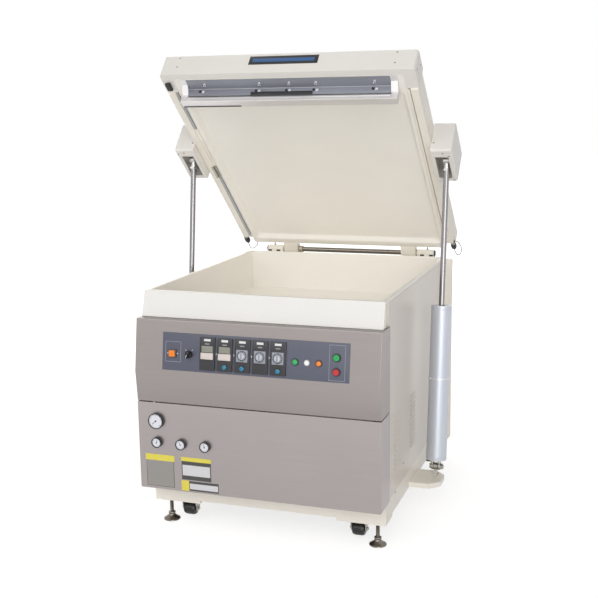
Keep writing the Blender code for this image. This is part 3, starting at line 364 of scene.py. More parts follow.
def put(name, bm, finish, body, matrix=None, smooth=35, replaces=()):
    """Makes a piece that rides on a body. Its mesh is moved into place by matrix."""
    if matrix is not None:
        moved(bm, matrix)
    bmesh.ops.recalc_face_normals(bm, faces=bm.faces)
    mesh = bpy.data.meshes.new(name)
    bm.to_mesh(mesh)
    bm.free()
    made = bpy.data.objects.new(name, mesh)
    bpy.context.scene.collection.objects.link(made)
    mesh.materials.append(MATERIALS[finish])
    mesh.shade_smooth()
    mesh.set_sharp_from_angle(angle=math.radians(smooth))
    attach(made, body)
    if replaces:
        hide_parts(*replaces)
    return made


def dress(node, finish, edge=0.0, segments=2):
    """The CAD node's own shape, with its edges rounded off, in place of the node."""
    bm = bmesh.new()
    bm.from_mesh(frame["nodes"][node].data)
    bmesh.ops.remove_doubles(bm, verts=bm.verts, dist=2e-6)
    bmesh.ops.dissolve_limit(bm, angle_limit=math.radians(0.5), verts=bm.verts, edges=bm.edges)
    if edge:
        sharp = [
            e for e in bm.edges
            if len(e.link_faces) == 2 and e.calc_face_angle(0) > SHARP_FROM
            and e.calc_length() > edge * 2.5
        ]
        round_edges(bm, sharp, edge, segments, clamp_overlap=True)
    made = put(node + "_skin", bm, finish, BODY_OF[node], smooth=38, replaces=(node,))
    even = made.modifiers.new("even", "WEIGHTED_NORMAL")
    even.keep_sharp = True
    return made


def second_finish(made, finish, chosen):
    """Gives the faces that chosen picks another finish."""
    made.data.materials.append(MATERIALS[finish])
    for face in made.data.polygons:
        if chosen(face):
            face.material_index = 1


def screws(name, places, finish, body, radius, height):
    """Pan heads at places, each (point, outward direction) in the frame."""
    head = [(0, 0), (radius, 0), (radius, height * 0.45), (radius * 0.72, height * 0.9), (0, height)]
    parts = []
    for point, out in places:
        turn = Vector(out).to_track_quat("Z", "Y").to_matrix().to_4x4()
        parts.append(moved(turned_mesh(head, 20), Matrix.Translation(point) @ turn))
    return put(name, merged(parts), finish, body, smooth=30)


# The fixed body

def body_panels():
    tub = dress("vacuum_chamber", "tub", 0.0022, 3)
    # Faces of the tub that face the front get a darker copy of its paint, as painted shade.
    second_finish(tub, "apron_painted_shade", lambda face: face.normal.y < -0.3 and face.center.y < APRON_BACK)
    # The console gets a darker copy of the stainless steel, as painted shade.
    dress("console_panel", "satin", 0.0012)
    dress("lower_front_panel", "stainless")
    dress("base_frame", "cream", 0.0015)
    dress("rear_panel", "cream", 0.0010)
    dress("hinge_beam", "cream", 0.0010)
    for side, _ in SIDES:
        # The side panels get a darker copy of the cream paint, as painted shade.
        dress(f"side_panel_front_{side}", "panel")
        dress(f"side_panel_rear_{side}", "panel", 0.0010)
        dress(f"bearing_{side}", "cream", 0.0012)
        bracket = dress(f"cylinder_bracket_{side}", "cream")
        second_finish(bracket, "zinc", lambda face: face.center.z > BRACKET_TOP)
        for end in ENDS:
            dress(f"caster_fork_{end}_{side}", "zinc")


def body_screws():
    """A dark strip behind the gap under the console, as painted shade, and screws on its ledge, its sides and the
    side panels.
    """
    half, low, high = 0.490, 0.5699, 0.5741
    # A dark strip behind the gap under the console, painted as the shade in that gap
    seam = box_mesh((-half, FRONT + 0.010, low), (half, FRONT + 0.014, high))
    put("console_gap_shade", seam, "shadow_gap", "machine")
    ledge, side, panel = 0.9147, 0.515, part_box("side_panel_front_right")[1].x
    on_ledge = ((-0.291, 0.032), (-0.095, 0.034), (0.109, 0.031), (0.304, 0.036))
    on_panel = ((0.374, 0.280), (0.233, 0.204))
    places = [((x, FRONT + y, ledge), (0, 0, 1)) for x, y in on_ledge]
    for _, sign in SIDES:
        places.append(((sign * side, FRONT + 0.124, 0.869), (sign, 0, 0)))
        places += [((sign * panel, FRONT + y, z), (sign, 0, 0)) for y, z in on_panel]
    screws("body_screws", places, "grey_metal", "machine", 0.0040, 0.0016)


def feet():
    """Levelling feet: a domed disc, a round nut and a threaded stud."""
    nut_top, pitch = 0.0352, 0.0022
    for side, _ in SIDES:
        for end in ENDS:
            node = f"foot_{end}_{side}"
            low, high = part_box(node)
            radius = (high.x - low.x) / 2
            top = high.z
            profile = [(0, 0), (radius - 0.001, 0), (radius, 0.0015), (radius - 0.001, 0.005)]
            profile += [(radius * 0.72, 0.0105), (radius * 0.50, 0.0160), (0.0138, 0.0215), (0.0128, 0.0240)]
            profile += [(0.0140, 0.0246), (0.0150, 0.0262), (0.0150, 0.0322), (0.0140, 0.0340)]
            profile.append((0.0095, nut_top))
            z = nut_top
            while z < top - pitch:
                profile += [(0.0072, z + pitch * 0.2), (0.0080, z + pitch * 0.7)]
                z += pitch
            profile += [(0.0072, top), (0, top)]
            centre = ((low.x + high.x) / 2, (low.y + high.y) / 2, 0)
            put(node + "_skin", turned_mesh(profile, 40, centre), "steel", "machine", replaces=(node,))


def wheels():
    bore, step = 0.0066, 0.0015
    for side, _ in SIDES:
        for end in ENDS:
            node = f"caster_wheel_{end}_{side}"
            low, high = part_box(node)
            half, radius = (high.x - low.x) / 2, (high.z - low.z) / 2
            flank = [(bore, 0), (radius * 0.62, 0), (radius * 0.70, step), (radius * 0.86, step)]
            flank += [(radius * 0.95, 0.006), (radius, 0.014)]
            profile = [(r, z - half) for r, z in flank] + [(r, half - z) for r, z in reversed(flank)]
            wheel = turned_mesh(profile, 64, (low + high) / 2, "x")
            put(node + "_skin", wheel, "wheel", f"wheel_{end}_{side}", replaces=(node,))


# Console

def frame_lines(x0, x1, v0, v1):
    """The four thin printed lines of a frame."""
    low, high, width = PLATE_TOP - 0.0002, PLATE_TOP + 0.00015, 0.0012
    rows = [((x0, v0), (x1, v0 + width)), ((x0, v1 - width), (x1, v1)), ((x0, v0), (x0 + width, v1))]
    rows += [((x1 - width, v0), (x1, v1))]
    return [box_mesh((*a, low), (*b, high)) for a, b in rows]


def strips():
    """The five dark strips, with their small bars and the arrows between them."""
    mid, half = (STRIP_LOW + STRIP_HIGH) / 2, (STRIP_HIGH - STRIP_LOW) / 2
    bodies, captions, greys, arrows = [], [], [], []
    for k, x in enumerate(STRIP_X):
        bodies.append(tile(x, mid, STRIP_HALF, half, PLATE_TOP - 0.0005, STRIP_TOP, 0.0012))
        captions.append(tile(x, 0.1465, 0.0140, 0.0045, STRIP_TOP - 0.001, STRIP_TOP + 0.0004, 0.0003))
        greys.append(tile(x, 0.13125, 0.0095, 0.00225, STRIP_TOP - 0.001, STRIP_TOP + 0.0003))
        if k:
            at = x - STRIP_PITCH / 2
            tip = [(-0.0022, 0.0985), (0.0030, 0.0925), (-0.0022, 0.0865), (-0.0008, 0.0925)]
            tip = [(at + u, v) for u, v in tip]
            arrows.append(prism_mesh(tip, "z", PLATE_TOP - 0.0002, PLATE_TOP + 0.0006))
    put("strip_bodies", merged(bodies), "strip", "machine", FACE)
    put("strip_caption_bars", merged(captions), "print", "machine", FACE)
    put("strip_small_bars", merged(greys), "print_grey", "machine", FACE)
    put("strip_arrows", merged(arrows), "print", "machine", FACE)


def counters_and_timers():
    """Two counters with a window over a flap, and three dial timers."""
    windows, flaps = [], []
    for x in STRIP_X[:2]:
        windows.append(tile(x, 0.1105, 0.0240, 0.0125, STRIP_TOP - 0.002, STRIP_TOP + 0.0012, 0.0006))
        flaps.append(tile(x, 0.0830, 0.0265, 0.0130, STRIP_TOP - 0.002, STRIP_TOP + 0.0040, 0.0014))
    put("counter_windows", merged(windows), "window", "machine", FACE)
    put("counter_flaps", merged(flaps), "flap", "machine", FACE)
    v = 0.0930
    ring = [(0.0165, 0), (0.0205, 0), (0.0205, 0.0037), (0.0165, 0.0037)]
    knob = [(0, 0), (0.0135, 0), (0.0130, 0.009), (0.0115, 0.0105), (0, 0.0105)]
    cases, rings, knobs, grips, ticks = [], [], [], [], []
    for x in STRIP_X[2:]:
        cases.append(tile(x, v, 0.0240, 0.0240, STRIP_TOP - 0.002, STRIP_TOP + 0.0030, 0.0014))
        rings.append(turned_mesh(ring, 48, (x, v, STRIP_TOP)))
        knobs.append(turned_mesh(knob, 40, (x, v, STRIP_TOP)))
        grips.append(tile(x, v, 0.0022, 0.0105, STRIP_TOP + 0.009, STRIP_TOP + 0.0135, 0.0008))
        for k in range(11):
            tick = tile(0, 0.0185, 0.0004, 0.0013, STRIP_TOP + 0.0036, STRIP_TOP + 0.0039)
            ticks.append(moved(tick, about(x, v, 30 * k - 150)))
    put("timer_cases", merged(cases), "dial_grey", "machine", FACE)
    put("timer_scales", merged(rings), "dial_dark", "machine", FACE)
    put("timer_knobs", merged(knobs), "knob_light", "machine", FACE)
    put("timer_grips", merged(grips), "dial_grey", "machine", FACE)
    put("timer_ticks", merged(ticks), "print", "machine", FACE)


def lamps():
    """Teal lamps on three strips, three round lamps beside them and a square one on the left."""
    teal, teal_rings = [], []
    dome = [(0, 0), (0.0100, 0), (0.0094, 0.004), (0.0065, 0.0060), (0, 0.0066)]
    for x in (STRIP_X[1], STRIP_X[2], STRIP_X[4]):
        centre = (x + 0.001, 0.0430, STRIP_TOP)
        # A near-black ring under each teal lamp, painted as the shade of the recess it sits in
        teal_rings.append(disc_mesh(0.0118, -0.001, 0.0015, centre, edge=0.0004))
        teal.append(turned_mesh(dome, 36, centre))
    put("teal_lamp_rings", merged(teal_rings), "lamp_recess_shade", "machine", FACE)
    put("teal_lamps", merged(teal), "teal", "machine", FACE)
    v = BUTTON_ROW
    for name, x, finish, ring_finish, radius in (
        ("green", 0.174, "green", "dark_ring", 0.0112),
        ("white", 0.222, "white_lamp", "zinc", 0.0100),
        ("orange", 0.270, "orange", "dark_ring", 0.0105),
    ):
        outer = radius + 0.0034
        ring = [(radius, 0), (outer, 0), (outer, 0.0025), (outer - 0.0010, 0.0045), (radius, 0.0045)]
        ring = turned_mesh(ring, 40, (x, v, PLATE_TOP - 0.0005))
        put(f"{name}_lamp_ring", ring, ring_finish, "machine", FACE)
        dome = [(0, 0), (radius, 0), (radius, 0.006), (radius * 0.86, 0.0095), (radius * 0.5, 0.0115)]
        dome.append((0, 0.0120))
        put(f"{name}_lamp", turned_mesh(dome, 40, (x, v, PLATE_TOP - 0.0004)), finish, "machine", FACE)
    x = -0.346
    bezel = tile(x, v, 0.0165, 0.0165, PLATE_TOP - 0.0005, PLATE_TOP + 0.004, 0.0015)
    put("square_lamp_bezel", bezel, "dark_ring", "machine", FACE)
    lamp = tile(x, v, 0.0125, 0.0125, PLATE_TOP + 0.001, PLATE_TOP + 0.012, 0.0018)
    put("square_lamp", lamp, "orange", "machine", FACE)
    marks = [tile(x + s * 0.0215, v, 0.002, 0.002, PLATE_TOP - 0.0002, PLATE_TOP + 0.0005) for s in (-1, 1)]
    put("square_lamp_marks", merged(marks), "print", "machine", FACE)


def console():
    plate = box_mesh((-0.391, 0.016, 0.0003), (0.391, 0.168, PLATE_TOP), 0.0006)
    put("control_plate_skin", plate, "plate", "machine", FACE, replaces=("control_plate",))
    lines = frame_lines(-0.378, -0.310, 0.0505, 0.1323) + frame_lines(0.310, 0.374, 0.0222, 0.1596)
    put("plate_frame_lines", merged(lines), "line", "machine", FACE)
    strips()
    counters_and_timers()
    lamps()


def selector():
    """The selector's knob with its line, turned as in the photograph, and its two marks."""
    x, v, base = -0.274, BUTTON_ROW, PLATE_TOP + 0.0003
    disc = [(0, 0), (0.0150, 0), (0.0150, 0.009), (0.0138, 0.0108), (0, 0.0112)]
    turn = Matrix.Translation((0, 0, base)) @ about(x, v, -22)
    grip = moved(box_mesh((-0.0046, -0.0150, 0.010), (0.0046, 0.0135, 0.0234), 0.0016), turn)
    line = moved(box_mesh((-0.0009, -0.0140, 0.0230), (0.0009, -0.0010, 0.0237)), turn)
    knob = merged([turned_mesh(disc, 48, (x, v, base)), grip])
    put("selector_knob_skin", knob, "black", "selector", FACE, replaces=("selector_knob",))
    put("selector_line", line, "print", "selector", FACE)
    marks = []
    for degrees in (-38, 38):
        mark = tile(0, 0.0220, 0.0009, 0.0035, PLATE_TOP - 0.0002, PLATE_TOP + 0.0003)
        marks.append(moved(mark, about(x, v, degrees)))
    put("selector_marks", merged(marks), "print", "machine", FACE)


def push_buttons():
    x, radius = 0.341, 0.0125
    inner, outer = radius + 0.0006, radius + 0.0036
    ring = [(inner, 0), (outer, 0), (outer, 0.006), (outer - 0.0010, 0.0078), (inner, 0.0078)]
    cap = [(0, 0), (radius, 0), (radius, 0.0068), (radius - 0.0016, 0.0088), (radius * 0.5, 0.0090)]
    cap.append((0, 0.0088))
    rings = []
    for name, v, finish in (("start_button", 0.111, "green"), ("stop_button", 0.056, "red")):
        rings.append(turned_mesh(ring, 48, (x, v, PLATE_TOP - 0.0004)))
        button = turned_mesh(cap, 48, (x, v, PLATE_TOP + 0.0043))
        put(name + "_skin", button, finish, name, FACE, replaces=(name,))
    put("button_rings", merged(rings), "dark_ring", "machine", FACE)


# Gauges and plain plates on the lower panel

def gauges():
    """Round gauges with a black rim, plain ticks and a needle. Each turn is its needle's angle."""
    proud = 0.016
    faces, ticks, needles = [], [], []
    turns_of = {"vacuum_gauge": 130, "pressure_gauge_1": -20, "pressure_gauge_2": 25, "pressure_gauge_3": 15}
    for node, turn in turns_of.items():
        low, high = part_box(node)
        x, z, radius = (low.x + high.x) / 2, (low.z + high.z) / 2, (high.x - low.x) / 2
        rim = [(radius - 0.004, 0.006), (radius - 0.0035, proud - 0.001), (radius - 0.0025, proud)]
        rim += [(radius - 0.0008, proud - 0.0006), (radius, proud - 0.002), (radius, 0.002)]
        rim += [(radius - 0.001, 0.0003), (radius - 0.004, 0.0003)]
        put(node + "_skin", turned_mesh(rim, 72, (x, z, 0)), "black", "machine", PANEL, replaces=(node,))
        inner = radius - 0.0035
        faces.append(disc_mesh(inner, 0.004, 0.0115, (x, z, 0)))
        for k in range(13):
            long, wide = (0.16, 0.022) if k % 3 == 0 else (0.09, 0.014)
            wide *= radius
            tick = box_mesh((-wide, inner * (0.90 - long), 0.0113), (wide, inner * 0.90, 0.0118))
            ticks.append(moved(tick, about(x, z, 22.5 * k - 135)))
        wide = radius * 0.022
        needle = box_mesh((-wide, -inner * 0.22, 0.0122), (wide, inner * 0.66, 0.0128))
        hub = disc_mesh(radius * 0.10, 0.0114, 0.0132, (x, z, 0), steps=24)
        needles += [moved(needle, about(x, z, turn)), hub]
    put("gauge_faces", merged(faces), "gauge_face", "machine", PANEL)
    put("gauge_ticks", merged(ticks), "name_black", "machine", PANEL)
    put("gauge_needles", merged(needles), "name_black", "machine", PANEL)


def plain_plates():
    """The places of the labels, as plain colour plates with nothing printed on them."""
    x0, z0, x1, z1, w = -0.484, 0.212, -0.360, 0.323, 0.0015
    yellow = [(-0.487, 0.323, -0.357, 0.349), (-0.326, 0.332, -0.194, 0.349), (-0.328, 0.205, -0.294, 0.249)]
    dark = [(-0.325, 0.253, -0.195, 0.332), (-0.294, 0.207, -0.163, 0.248)]
    white = [(-0.321, 0.271, -0.199, 0.316), (-0.291, 0.214, -0.166, 0.238)]
    rim = [(x0, z0, x1, z0 + w), (x0, z0, x0 + w, z1), (x1 - w, z0, x1, z1)]
    for name, finish, places, low, high in (
        ("yellow", "yellow", yellow, -0.0001, 0.0006),
        ("label_grey", "label_grey", [(x0, z0, x1, z1)], -0.0001, 0.0006),
        ("label_dark", "label_dark", dark, -0.0001, 0.0006),
        ("white", "label_white", white, 0.0004, 0.0009),
        ("rim", "label_dark", rim, 0.0004, 0.0008),
    ):
        parts = [box_mesh((a, b, low), (c, d, high)) for a, b, c, d in places]
        put(f"plates_{name}", merged(parts), finish, "machine", PANEL)


# Lid

def ring_points(half, y0, y1, radius, z):
    """The points all the way round a rectangle with rounded corners."""
    points, per = [], 8
    centres = ((half - radius, y1 - radius, 0), (radius - half, y1 - radius, 90))
    centres += ((radius - half, y0 + radius, 180), (half - radius, y0 + radius, 270))
    for cx, cy, start in centres:
        for k in range(per + 1):
            a = math.radians(start + 90 * k / per)
            points.append((cx + radius * math.cos(a), cy + radius * math.sin(a), z))
    return points


def liner():
    """The pressed inner panel of the lid, its dish turned up with soft creases."""
    gap, lid_near, lid_far = 0.0063, 0.045, 1.3037
    half, y0, y1 = BODY_SIDE - gap, -(lid_far - gap), -(lid_near + gap)
    low, depth, sheet = gap, 0.022, 0.004
    front, side, rear, run, steps = 1.166, 0.009, 0.0265, 0.021, 12
    loops = [(half, y0, y1, 0.0006, low)]
    for k in range(steps + 1):
        t = k / steps
        rise, back = t * t * (3 - 2 * t), y1 - rear - run * t
        near = -front + run * (t - 0.35)
        loops.append((half - side - run * t, near, back, 0.018 + 0.006 * t, low + depth * rise))
    bm = bmesh.new()
    rings = [[bm.verts.new(p) for p in ring_points(*loop)] for loop in loops]
    tops = [[bm.verts.new((x, y, z + sheet)) for x, y, z in ring_points(*loop)] for loop in loops]
    count = len(rings[0])
    for rows in (rings, tops):
        for near, far in zip(rows, rows[1:]):
            for k in range(count):
                n = (k + 1) % count
                bm.faces.new((near[k], near[n], far[n], far[k]))
        bm.faces.new(rows[-1])
    for k in range(count):
        n = (k + 1) % count
        bm.faces.new((rings[0][k], rings[0][n], tops[0][n], tops[0][k]))
    put("lid_liner_skin", bm, "tub", "lid", LID, smooth=25, replaces=("lid_liner",))


def on_lid(x, reach, rise):
    """A point given in the lid's own frame, in the row frame."""
    return LID @ Vector((x, -reach, rise))


def cover_details():
    """Screws of the front cover and the end boxes, and the cover's plain plate."""
    ahead, under = LID.to_3x3() @ Vector((0, -1, 0)), LID.to_3x3() @ Vector((0, 0, -1))
    on_front = ((-0.476, 0.094), (-0.4775, 0.046), (0.466, 0.093), (0.464, 0.038))
    on_side = ((1.2485, 0.0785), (1.274, 0.0307))
    places = [(on_lid(x, LID_FRONT, b), ahead) for x, b in on_front]
    places += [(on_lid(s * LID_SIDE, a, b), (s, 0, 0)) for a, b in on_side for s in (-1, 1)]
    screws("cover_screws", places, "grey_metal", "lid", 0.0036, 0.0014)
    plate = lid_box(-0.156, 0.143, LID_FRONT - 0.0004, LID_FRONT + 0.0010, 0.047, 0.092, 0.0004)
    put("name_plate", plate, "name_black", "lid", LID)
    band = lid_box(-0.140, 0.127, LID_FRONT + 0.0006, LID_FRONT + 0.0014, 0.0605, 0.0785, 0.0003)
    put("name_plate_band", band, "name_blue", "lid", LID)
    places = []
    for sign, marks in ((1, ((0.599, 0.838), (0.6235, 0.8195), (0.627, 0.655))),
                        (-1, ((0.632, 0.826), (0.599, 0.838), (0.627, 0.655)))):
        places += [(on_lid(sign * x, a, BOX_UNDER), under) for x, a in marks]
        places.append((on_lid(sign * 0.558, BOX_FRONT, 0.002), ahead))
    screws("box_screws", places, "grey_metal", "lid", 0.0038, 0.0016)


def gap_fillings():
    """What lies in the slots between the lid's body and its safety bars."""
    strip = lid_box(BODY_SIDE + 0.0008, 0.5095, 0.110, 1.190, 0.001, 0.010, 0.0004)
    cover = lid_box(-BAR_SIDE + 0.0003, -BODY_SIDE - 0.0003, 0.690, 0.950, 0.001, 0.010, 0.0004)
    put("gap_covers", merged([strip, cover]), "cream", "lid", LID)
    spans = ((0.955, 1.190), (0.112, 0.600))
    rails = [lid_box(-0.5088, -0.5062, near, far, 0.000, 0.012) for near, far in spans]
    put("gap_rails", merged(rails), "aluminium", "lid", LID)
    block = [lid_box(-0.5245, -0.5125, 0.604, 0.688, -0.0056, 0.002, 0.0008)]
    block.append(lid_box(-0.5135, -BODY_SIDE - 0.0004, 0.604, 0.688, 0.0004, 0.008, 0.0008))
    put("gap_bracket", merged(block), "zinc", "lid", LID)


def seal_bar_details():
    """The dark folded cover of the sealing beam, with its clips, a light strip painted as the highlight on its
    folded edge, its rubber, a thin dark tube under the rail and its switch.
    """
    inner, foot = BAR_SHEET - BAR_FACE, BAR_FACE - 0.0002
    sheet = [(-BAR_FLANGE, BAR_FOLD), (-BAR_FACE, BAR_FOLD), (-BAR_FACE, BAR_DROP), (inner, BAR_DROP)]
    sheet += [(inner, BAR_FOLD + BAR_SHEET), (-BAR_FLANGE, BAR_FOLD + BAR_SHEET)]
    cover = prism_mesh(sheet, "x", -BAR_HALF, BAR_HALF, 0.0006)
    put("seal_bar_cover_skin", cover, "bar_cover", "lid", LID, replaces=("seal_bar_cover",))
    ledge = lid_box(-BAR_HALF, BAR_HALF, 1.1855, 1.2085, -0.0452, BAR_DROP - 0.0005, 0.0008)
    put("bar_ledge", ledge, "rail", "lid", LID)
    # A light strip along the cover's folded edge, painted as that edge's highlight
    rise = (BAR_FOLD - 0.0016, BAR_FOLD + 0.0004)
    fold_highlight = lid_box(-BAR_HALF, BAR_HALF, foot, BAR_FACE + 0.0014, *rise, 0.0005)
    put("bar_fold_highlight", fold_highlight, "rail", "lid", LID)
    bright, dark = [], []
    for x in (-0.364, -0.118, 0.0125, 0.128, 0.374):
        clip = [(x - 0.0075, -1.232), (x + 0.0045, -1.232), (x + 0.0075, -1.250), (x + 0.0005, -1.250)]
        bright.append(prism_mesh(clip, "z", BAR_FOLD - 0.0030, BAR_FOLD + 0.0002, 0.0006))
        centre = (x + 0.002, -1.240, 0)
        dark.append(disc_mesh(0.0026, BAR_FOLD - 0.0044, BAR_FOLD - 0.0028, centre, steps=16))
    for x in (-0.388, -0.135, -0.0015, 0.117, 0.367):
        place = Matrix.Translation((x, -foot, -0.0110)) @ Matrix.Rotation(math.pi / 2, 4, "X")
        dark.append(moved(disc_mesh(0.0058, 0, 0.0034, steps=20), place))
        tab = (x + 0.0085, x + 0.0195, foot, BAR_FACE + 0.0024, -0.0175, -0.0065)
        bright.append(lid_box(*tab, 0.0008))
    put("bar_clips", merged(bright), "print", "lid", LID)
    put("bar_bolts", merged(dark), "dark_steel", "lid", LID)
    rubber = lid_box(-0.155, 0.115, foot, BAR_FACE + 0.0060, -0.0350, -0.0195, 0.002)
    put("bar_rubber", rubber, "rubber", "lid", LID)
    # A thin dark tube just below the rail's rear edge
    lead = [(x, -1.1775, BAR_UNDER - 0.0018) for x in (-0.462, -0.40, -0.33, -0.26, -0.20)]
    put("bar_dark_line", tube_mesh(lead, 0.0017), "dark_steel", "lid", LID)
    switch = lid_box(-0.536, -0.513, 1.222, 1.262, -0.0125, 0.0003, 0.0018)
    put("bar_switch", switch, "rubber", "lid", LID)


def hinge_details():
    """The bare shaft, its collars, and the nipples and feet of its bearings."""
    y, z = HINGE.yz
    near, far = SHAFT_R - 0.0002, SHAFT_R + 0.0004
    sleeve = [(near, -ARM_INNER), (far, -ARM_INNER), (far, ARM_INNER), (near, ARM_INNER)]
    put("shaft_sleeve", turned_mesh(sleeve, 48, HINGE, "x"), "shaft", "lid")
    bore, radius, edge = SHAFT_R + 0.0002, 0.0174, 0.001
    near, far = ARM_OUTER + 0.0006, ARM_OUTER + 0.0068
    rings = []
    for low, high in ((-0.2717, -0.2490), (near, far), (-far, -near)):
        ring = [(bore, low), (radius - edge, low), (radius, low + edge), (radius, high - edge)]
        ring += [(radius - edge, high), (bore, high)]
        rings.append(turned_mesh(ring, 40, HINGE, "x"))
    put("shaft_collars", merged(rings), "collar", "lid")
    nipple = [(0, 0.0185), (0.0048, 0.0185), (0.0048, 0.0230), (0.0022, 0.0245), (0.0022, 0.0285)]
    nipple += [(0.0032, 0.0295), (0.0032, 0.0320), (0.0014, 0.0345), (0, 0.0345)]
    ends, nipples, slots = [], [], []
    for _, sign in SIDES:
        low, high = sorted((sign * (BEARING_OUTER + 0.0006), sign * 0.4424))
        ends.append(disc_mesh(0.0150, low, high, HINGE, "x", 36, 0.001))
        nipples.append(turned_mesh(nipple, 20, (sign * 0.402, y, z)))
        for near, far in ((0.369, 0.389), (0.414, 0.434)):
            a, b = sorted((sign * near, sign * far))
            slots.append(box_mesh((a, y - 0.0196, z - 0.0150), (b, y - 0.0180, z - 0.0040), 0.0006))
    put("shaft_ends", merged(ends), "black", "lid")
    put("bearing_nipples", merged(nipples), "grey_metal", "machine")
    put("bearing_slots", merged(slots), "shadow_gap", "machine")


def sensors():
    """Boots with their couplings at the safety bars' rear ends, each with its short lead."""
    boot = [(0, 0), (0.0101, 0), (0.0101, 0.0165), (0.0128, 0.0205), (0.0135, 0.0240), (0.0135, 0.0430)]
    boot += [(0.0122, 0.0490), (0.0085, 0.0575), (0.0040, 0.0580), (0, 0.0580)]
    grip = [(0.0100, 0.0004), (0.0112, 0.0004), (0.0112, 0.0060), (0.0106, 0.0066), (0.0106, 0.0085)]
    grip += [(0.0114, 0.0092), (0.0114, 0.0155), (0.0100, 0.0155)]
    # Each lead from inside its boot to the safety bar, as x from the bar's middle, y and rise
    leads = {
        "left": [(0, -0.0457, 0.008), (0, -0.0297, 0.002), (0.010, -0.0197, -0.014), (0.026, -0.0217, -0.018),
                 (0.046, -0.0277, -0.002), (0.050, -0.0412, 0.020), (0.050, -0.0428, 0.038)],
        "right": [(0, -0.0457, 0.008), (0.004, -0.030, -0.003), (0.013, -0.016, -0.012),
                  (0.024, -0.005, -0.002), (0.029, -0.006, 0.018), (0.025, -0.020, 0.036),
                  (0.013, -0.034, 0.047), (0.001, -0.0428, 0.050)],
    }
    for side, sign in SIDES:
        x = sign * 0.541
        place = LID @ Matrix.Translation((x, -0.0997, 0.008)) @ Matrix.Rotation(-math.pi / 2, 4, "X")
        lead = tube_mesh([(x + across, y, rise) for across, y, rise in leads[side]], 0.0018)
        put(f"sensor_lead_{side}", lead, "wire_dark", "lid", LID)
        node = f"safety_sensor_{side}"
        put(node + "_skin", turned_mesh(boot, 40), "rubber", "lid", place, replaces=(node,))
        put(f"sensor_coupling_{side}", turned_mesh(grip, 40), "grey_metal", "lid", place)


def lid():
    dress("lid_shell", "cream")
    liner()
    dress("front_cover", "white", 0.0009)
    for side, _ in SIDES:
        dress(f"safety_bar_{side}", "cream", 0.0025, 3)
        dress(f"rod_end_box_{side}", "white", 0.0007)
        dress(f"lid_lug_{side}", "zinc")
    dress("seal_bar", "rail", 0.0008)
    dress("hinge_shaft", "cream", 0.0008)
    cover_details()
    gap_fillings()
    seal_bar_details()
    hinge_details()
    sensors()


# Cylinders

def tube_skin():
    """The tube with its caps and gland, standing on z from its lower pivot."""
    gland, seam, edge = ROD_R + 0.0008, 0.0014, 0.0022
    floor, roof = TUBE_START + TUBE_CAP, TUBE_END - TUBE_CAP
    cut = TUBE_R - seam * 0.8
    profile = [(0, TUBE_START), (TUBE_R - edge, TUBE_START)]
    profile += [(TUBE_R - edge * 0.3, TUBE_START + edge * 0.3), (TUBE_R, TUBE_START + edge)]
    for z in (floor, roof):
        profile += [(TUBE_R, z - seam), (cut, z - seam * 0.6), (cut, z + seam * 0.6), (TUBE_R, z + seam)]
    profile += [(TUBE_R, TUBE_END - edge), (TUBE_R - edge * 0.3, TUBE_END - edge * 0.3)]
    profile += [(TUBE_R - edge, TUBE_END), (0.026, TUBE_END), (0.0255, TUBE_END - 0.0012)]
    profile += [(gland + 0.002, TUBE_END - 0.0012), (gland, TUBE_END - 0.003), (gland, roof)]
    profile += [(BORE_R, roof), (BORE_R, floor), (0, floor)]
    return turned_mesh(profile, 96)


def ear_mesh(x0, x1):
    """One ear of the fork under the tube, with a bore for its pin."""
    outer, bore, edge = 0.016, PIN_R + 0.0006, 0.001
    ring = [(bore, x0), (outer - edge, x0), (outer, x0 + edge), (outer, x1 - edge), (outer - edge, x1)]
    ring.append((bore, x1))
    block = box_mesh((x0, -outer, bore + edge), (x1, outer, TUBE_START + 0.002), edge)
    return [turned_mesh(ring, 40, axis="x"), block]


def tube_pieces(side, sign, place):
    """A tube with its fork, the fork's nut, and the clamp round its middle."""
    node, body = f"cylinder_tube_{side}", f"cylinder_{side}"
    put(node + "_skin", tube_skin(), "aluminium", body, place, 32, (node,))
    ears = ear_mesh(0.010, 0.020) + ear_mesh(-0.020, -0.010)
    put(f"fork_ears_{side}", merged(ears), "zinc", body, place, 32)
    nut = turned_mesh([(0, 0.020), (0.0125, 0.020), (0.0125, 0.0255), (0, 0.0255)], 6, axis="x")
    head = disc_mesh(0.0075, 0.0250, 0.0285, axis="x", steps=24, edge=0.001)
    if sign < 0:
        for bm in (nut, head):
            moved(bm, Matrix.Rotation(math.pi, 4, "Z"))
    put(f"fork_nut_{side}", merged([nut, head]), "zinc", body, place)
    inner, outer = TUBE_R + 0.0002, TUBE_R + 0.0010
    band = [(inner, CLAMP_AT), (outer, CLAMP_AT + 0.0003), (outer, CLAMP_AT + 0.0037)]
    band.append((inner, CLAMP_AT + 0.004))
    front = -TUBE_R - 0.0050
    lug = box_mesh((-0.006, front, CLAMP_AT - 0.002), (0.006, 0.001 - TUBE_R, CLAMP_AT + 0.006), 0.001)
    centre = (0, -TUBE_R - 0.0030, CLAMP_AT + 0.002)
    bolt = disc_mesh(0.0026, -0.0085, 0.0085, centre, "x", 20, 0.0005)
    clamp = [turned_mesh(band, 96)] + [moved(bm, about(0, 0, -52)) for bm in (lug, bolt)]
    put(f"tube_clamp_{side}", merged(clamp), "rail", body, place)


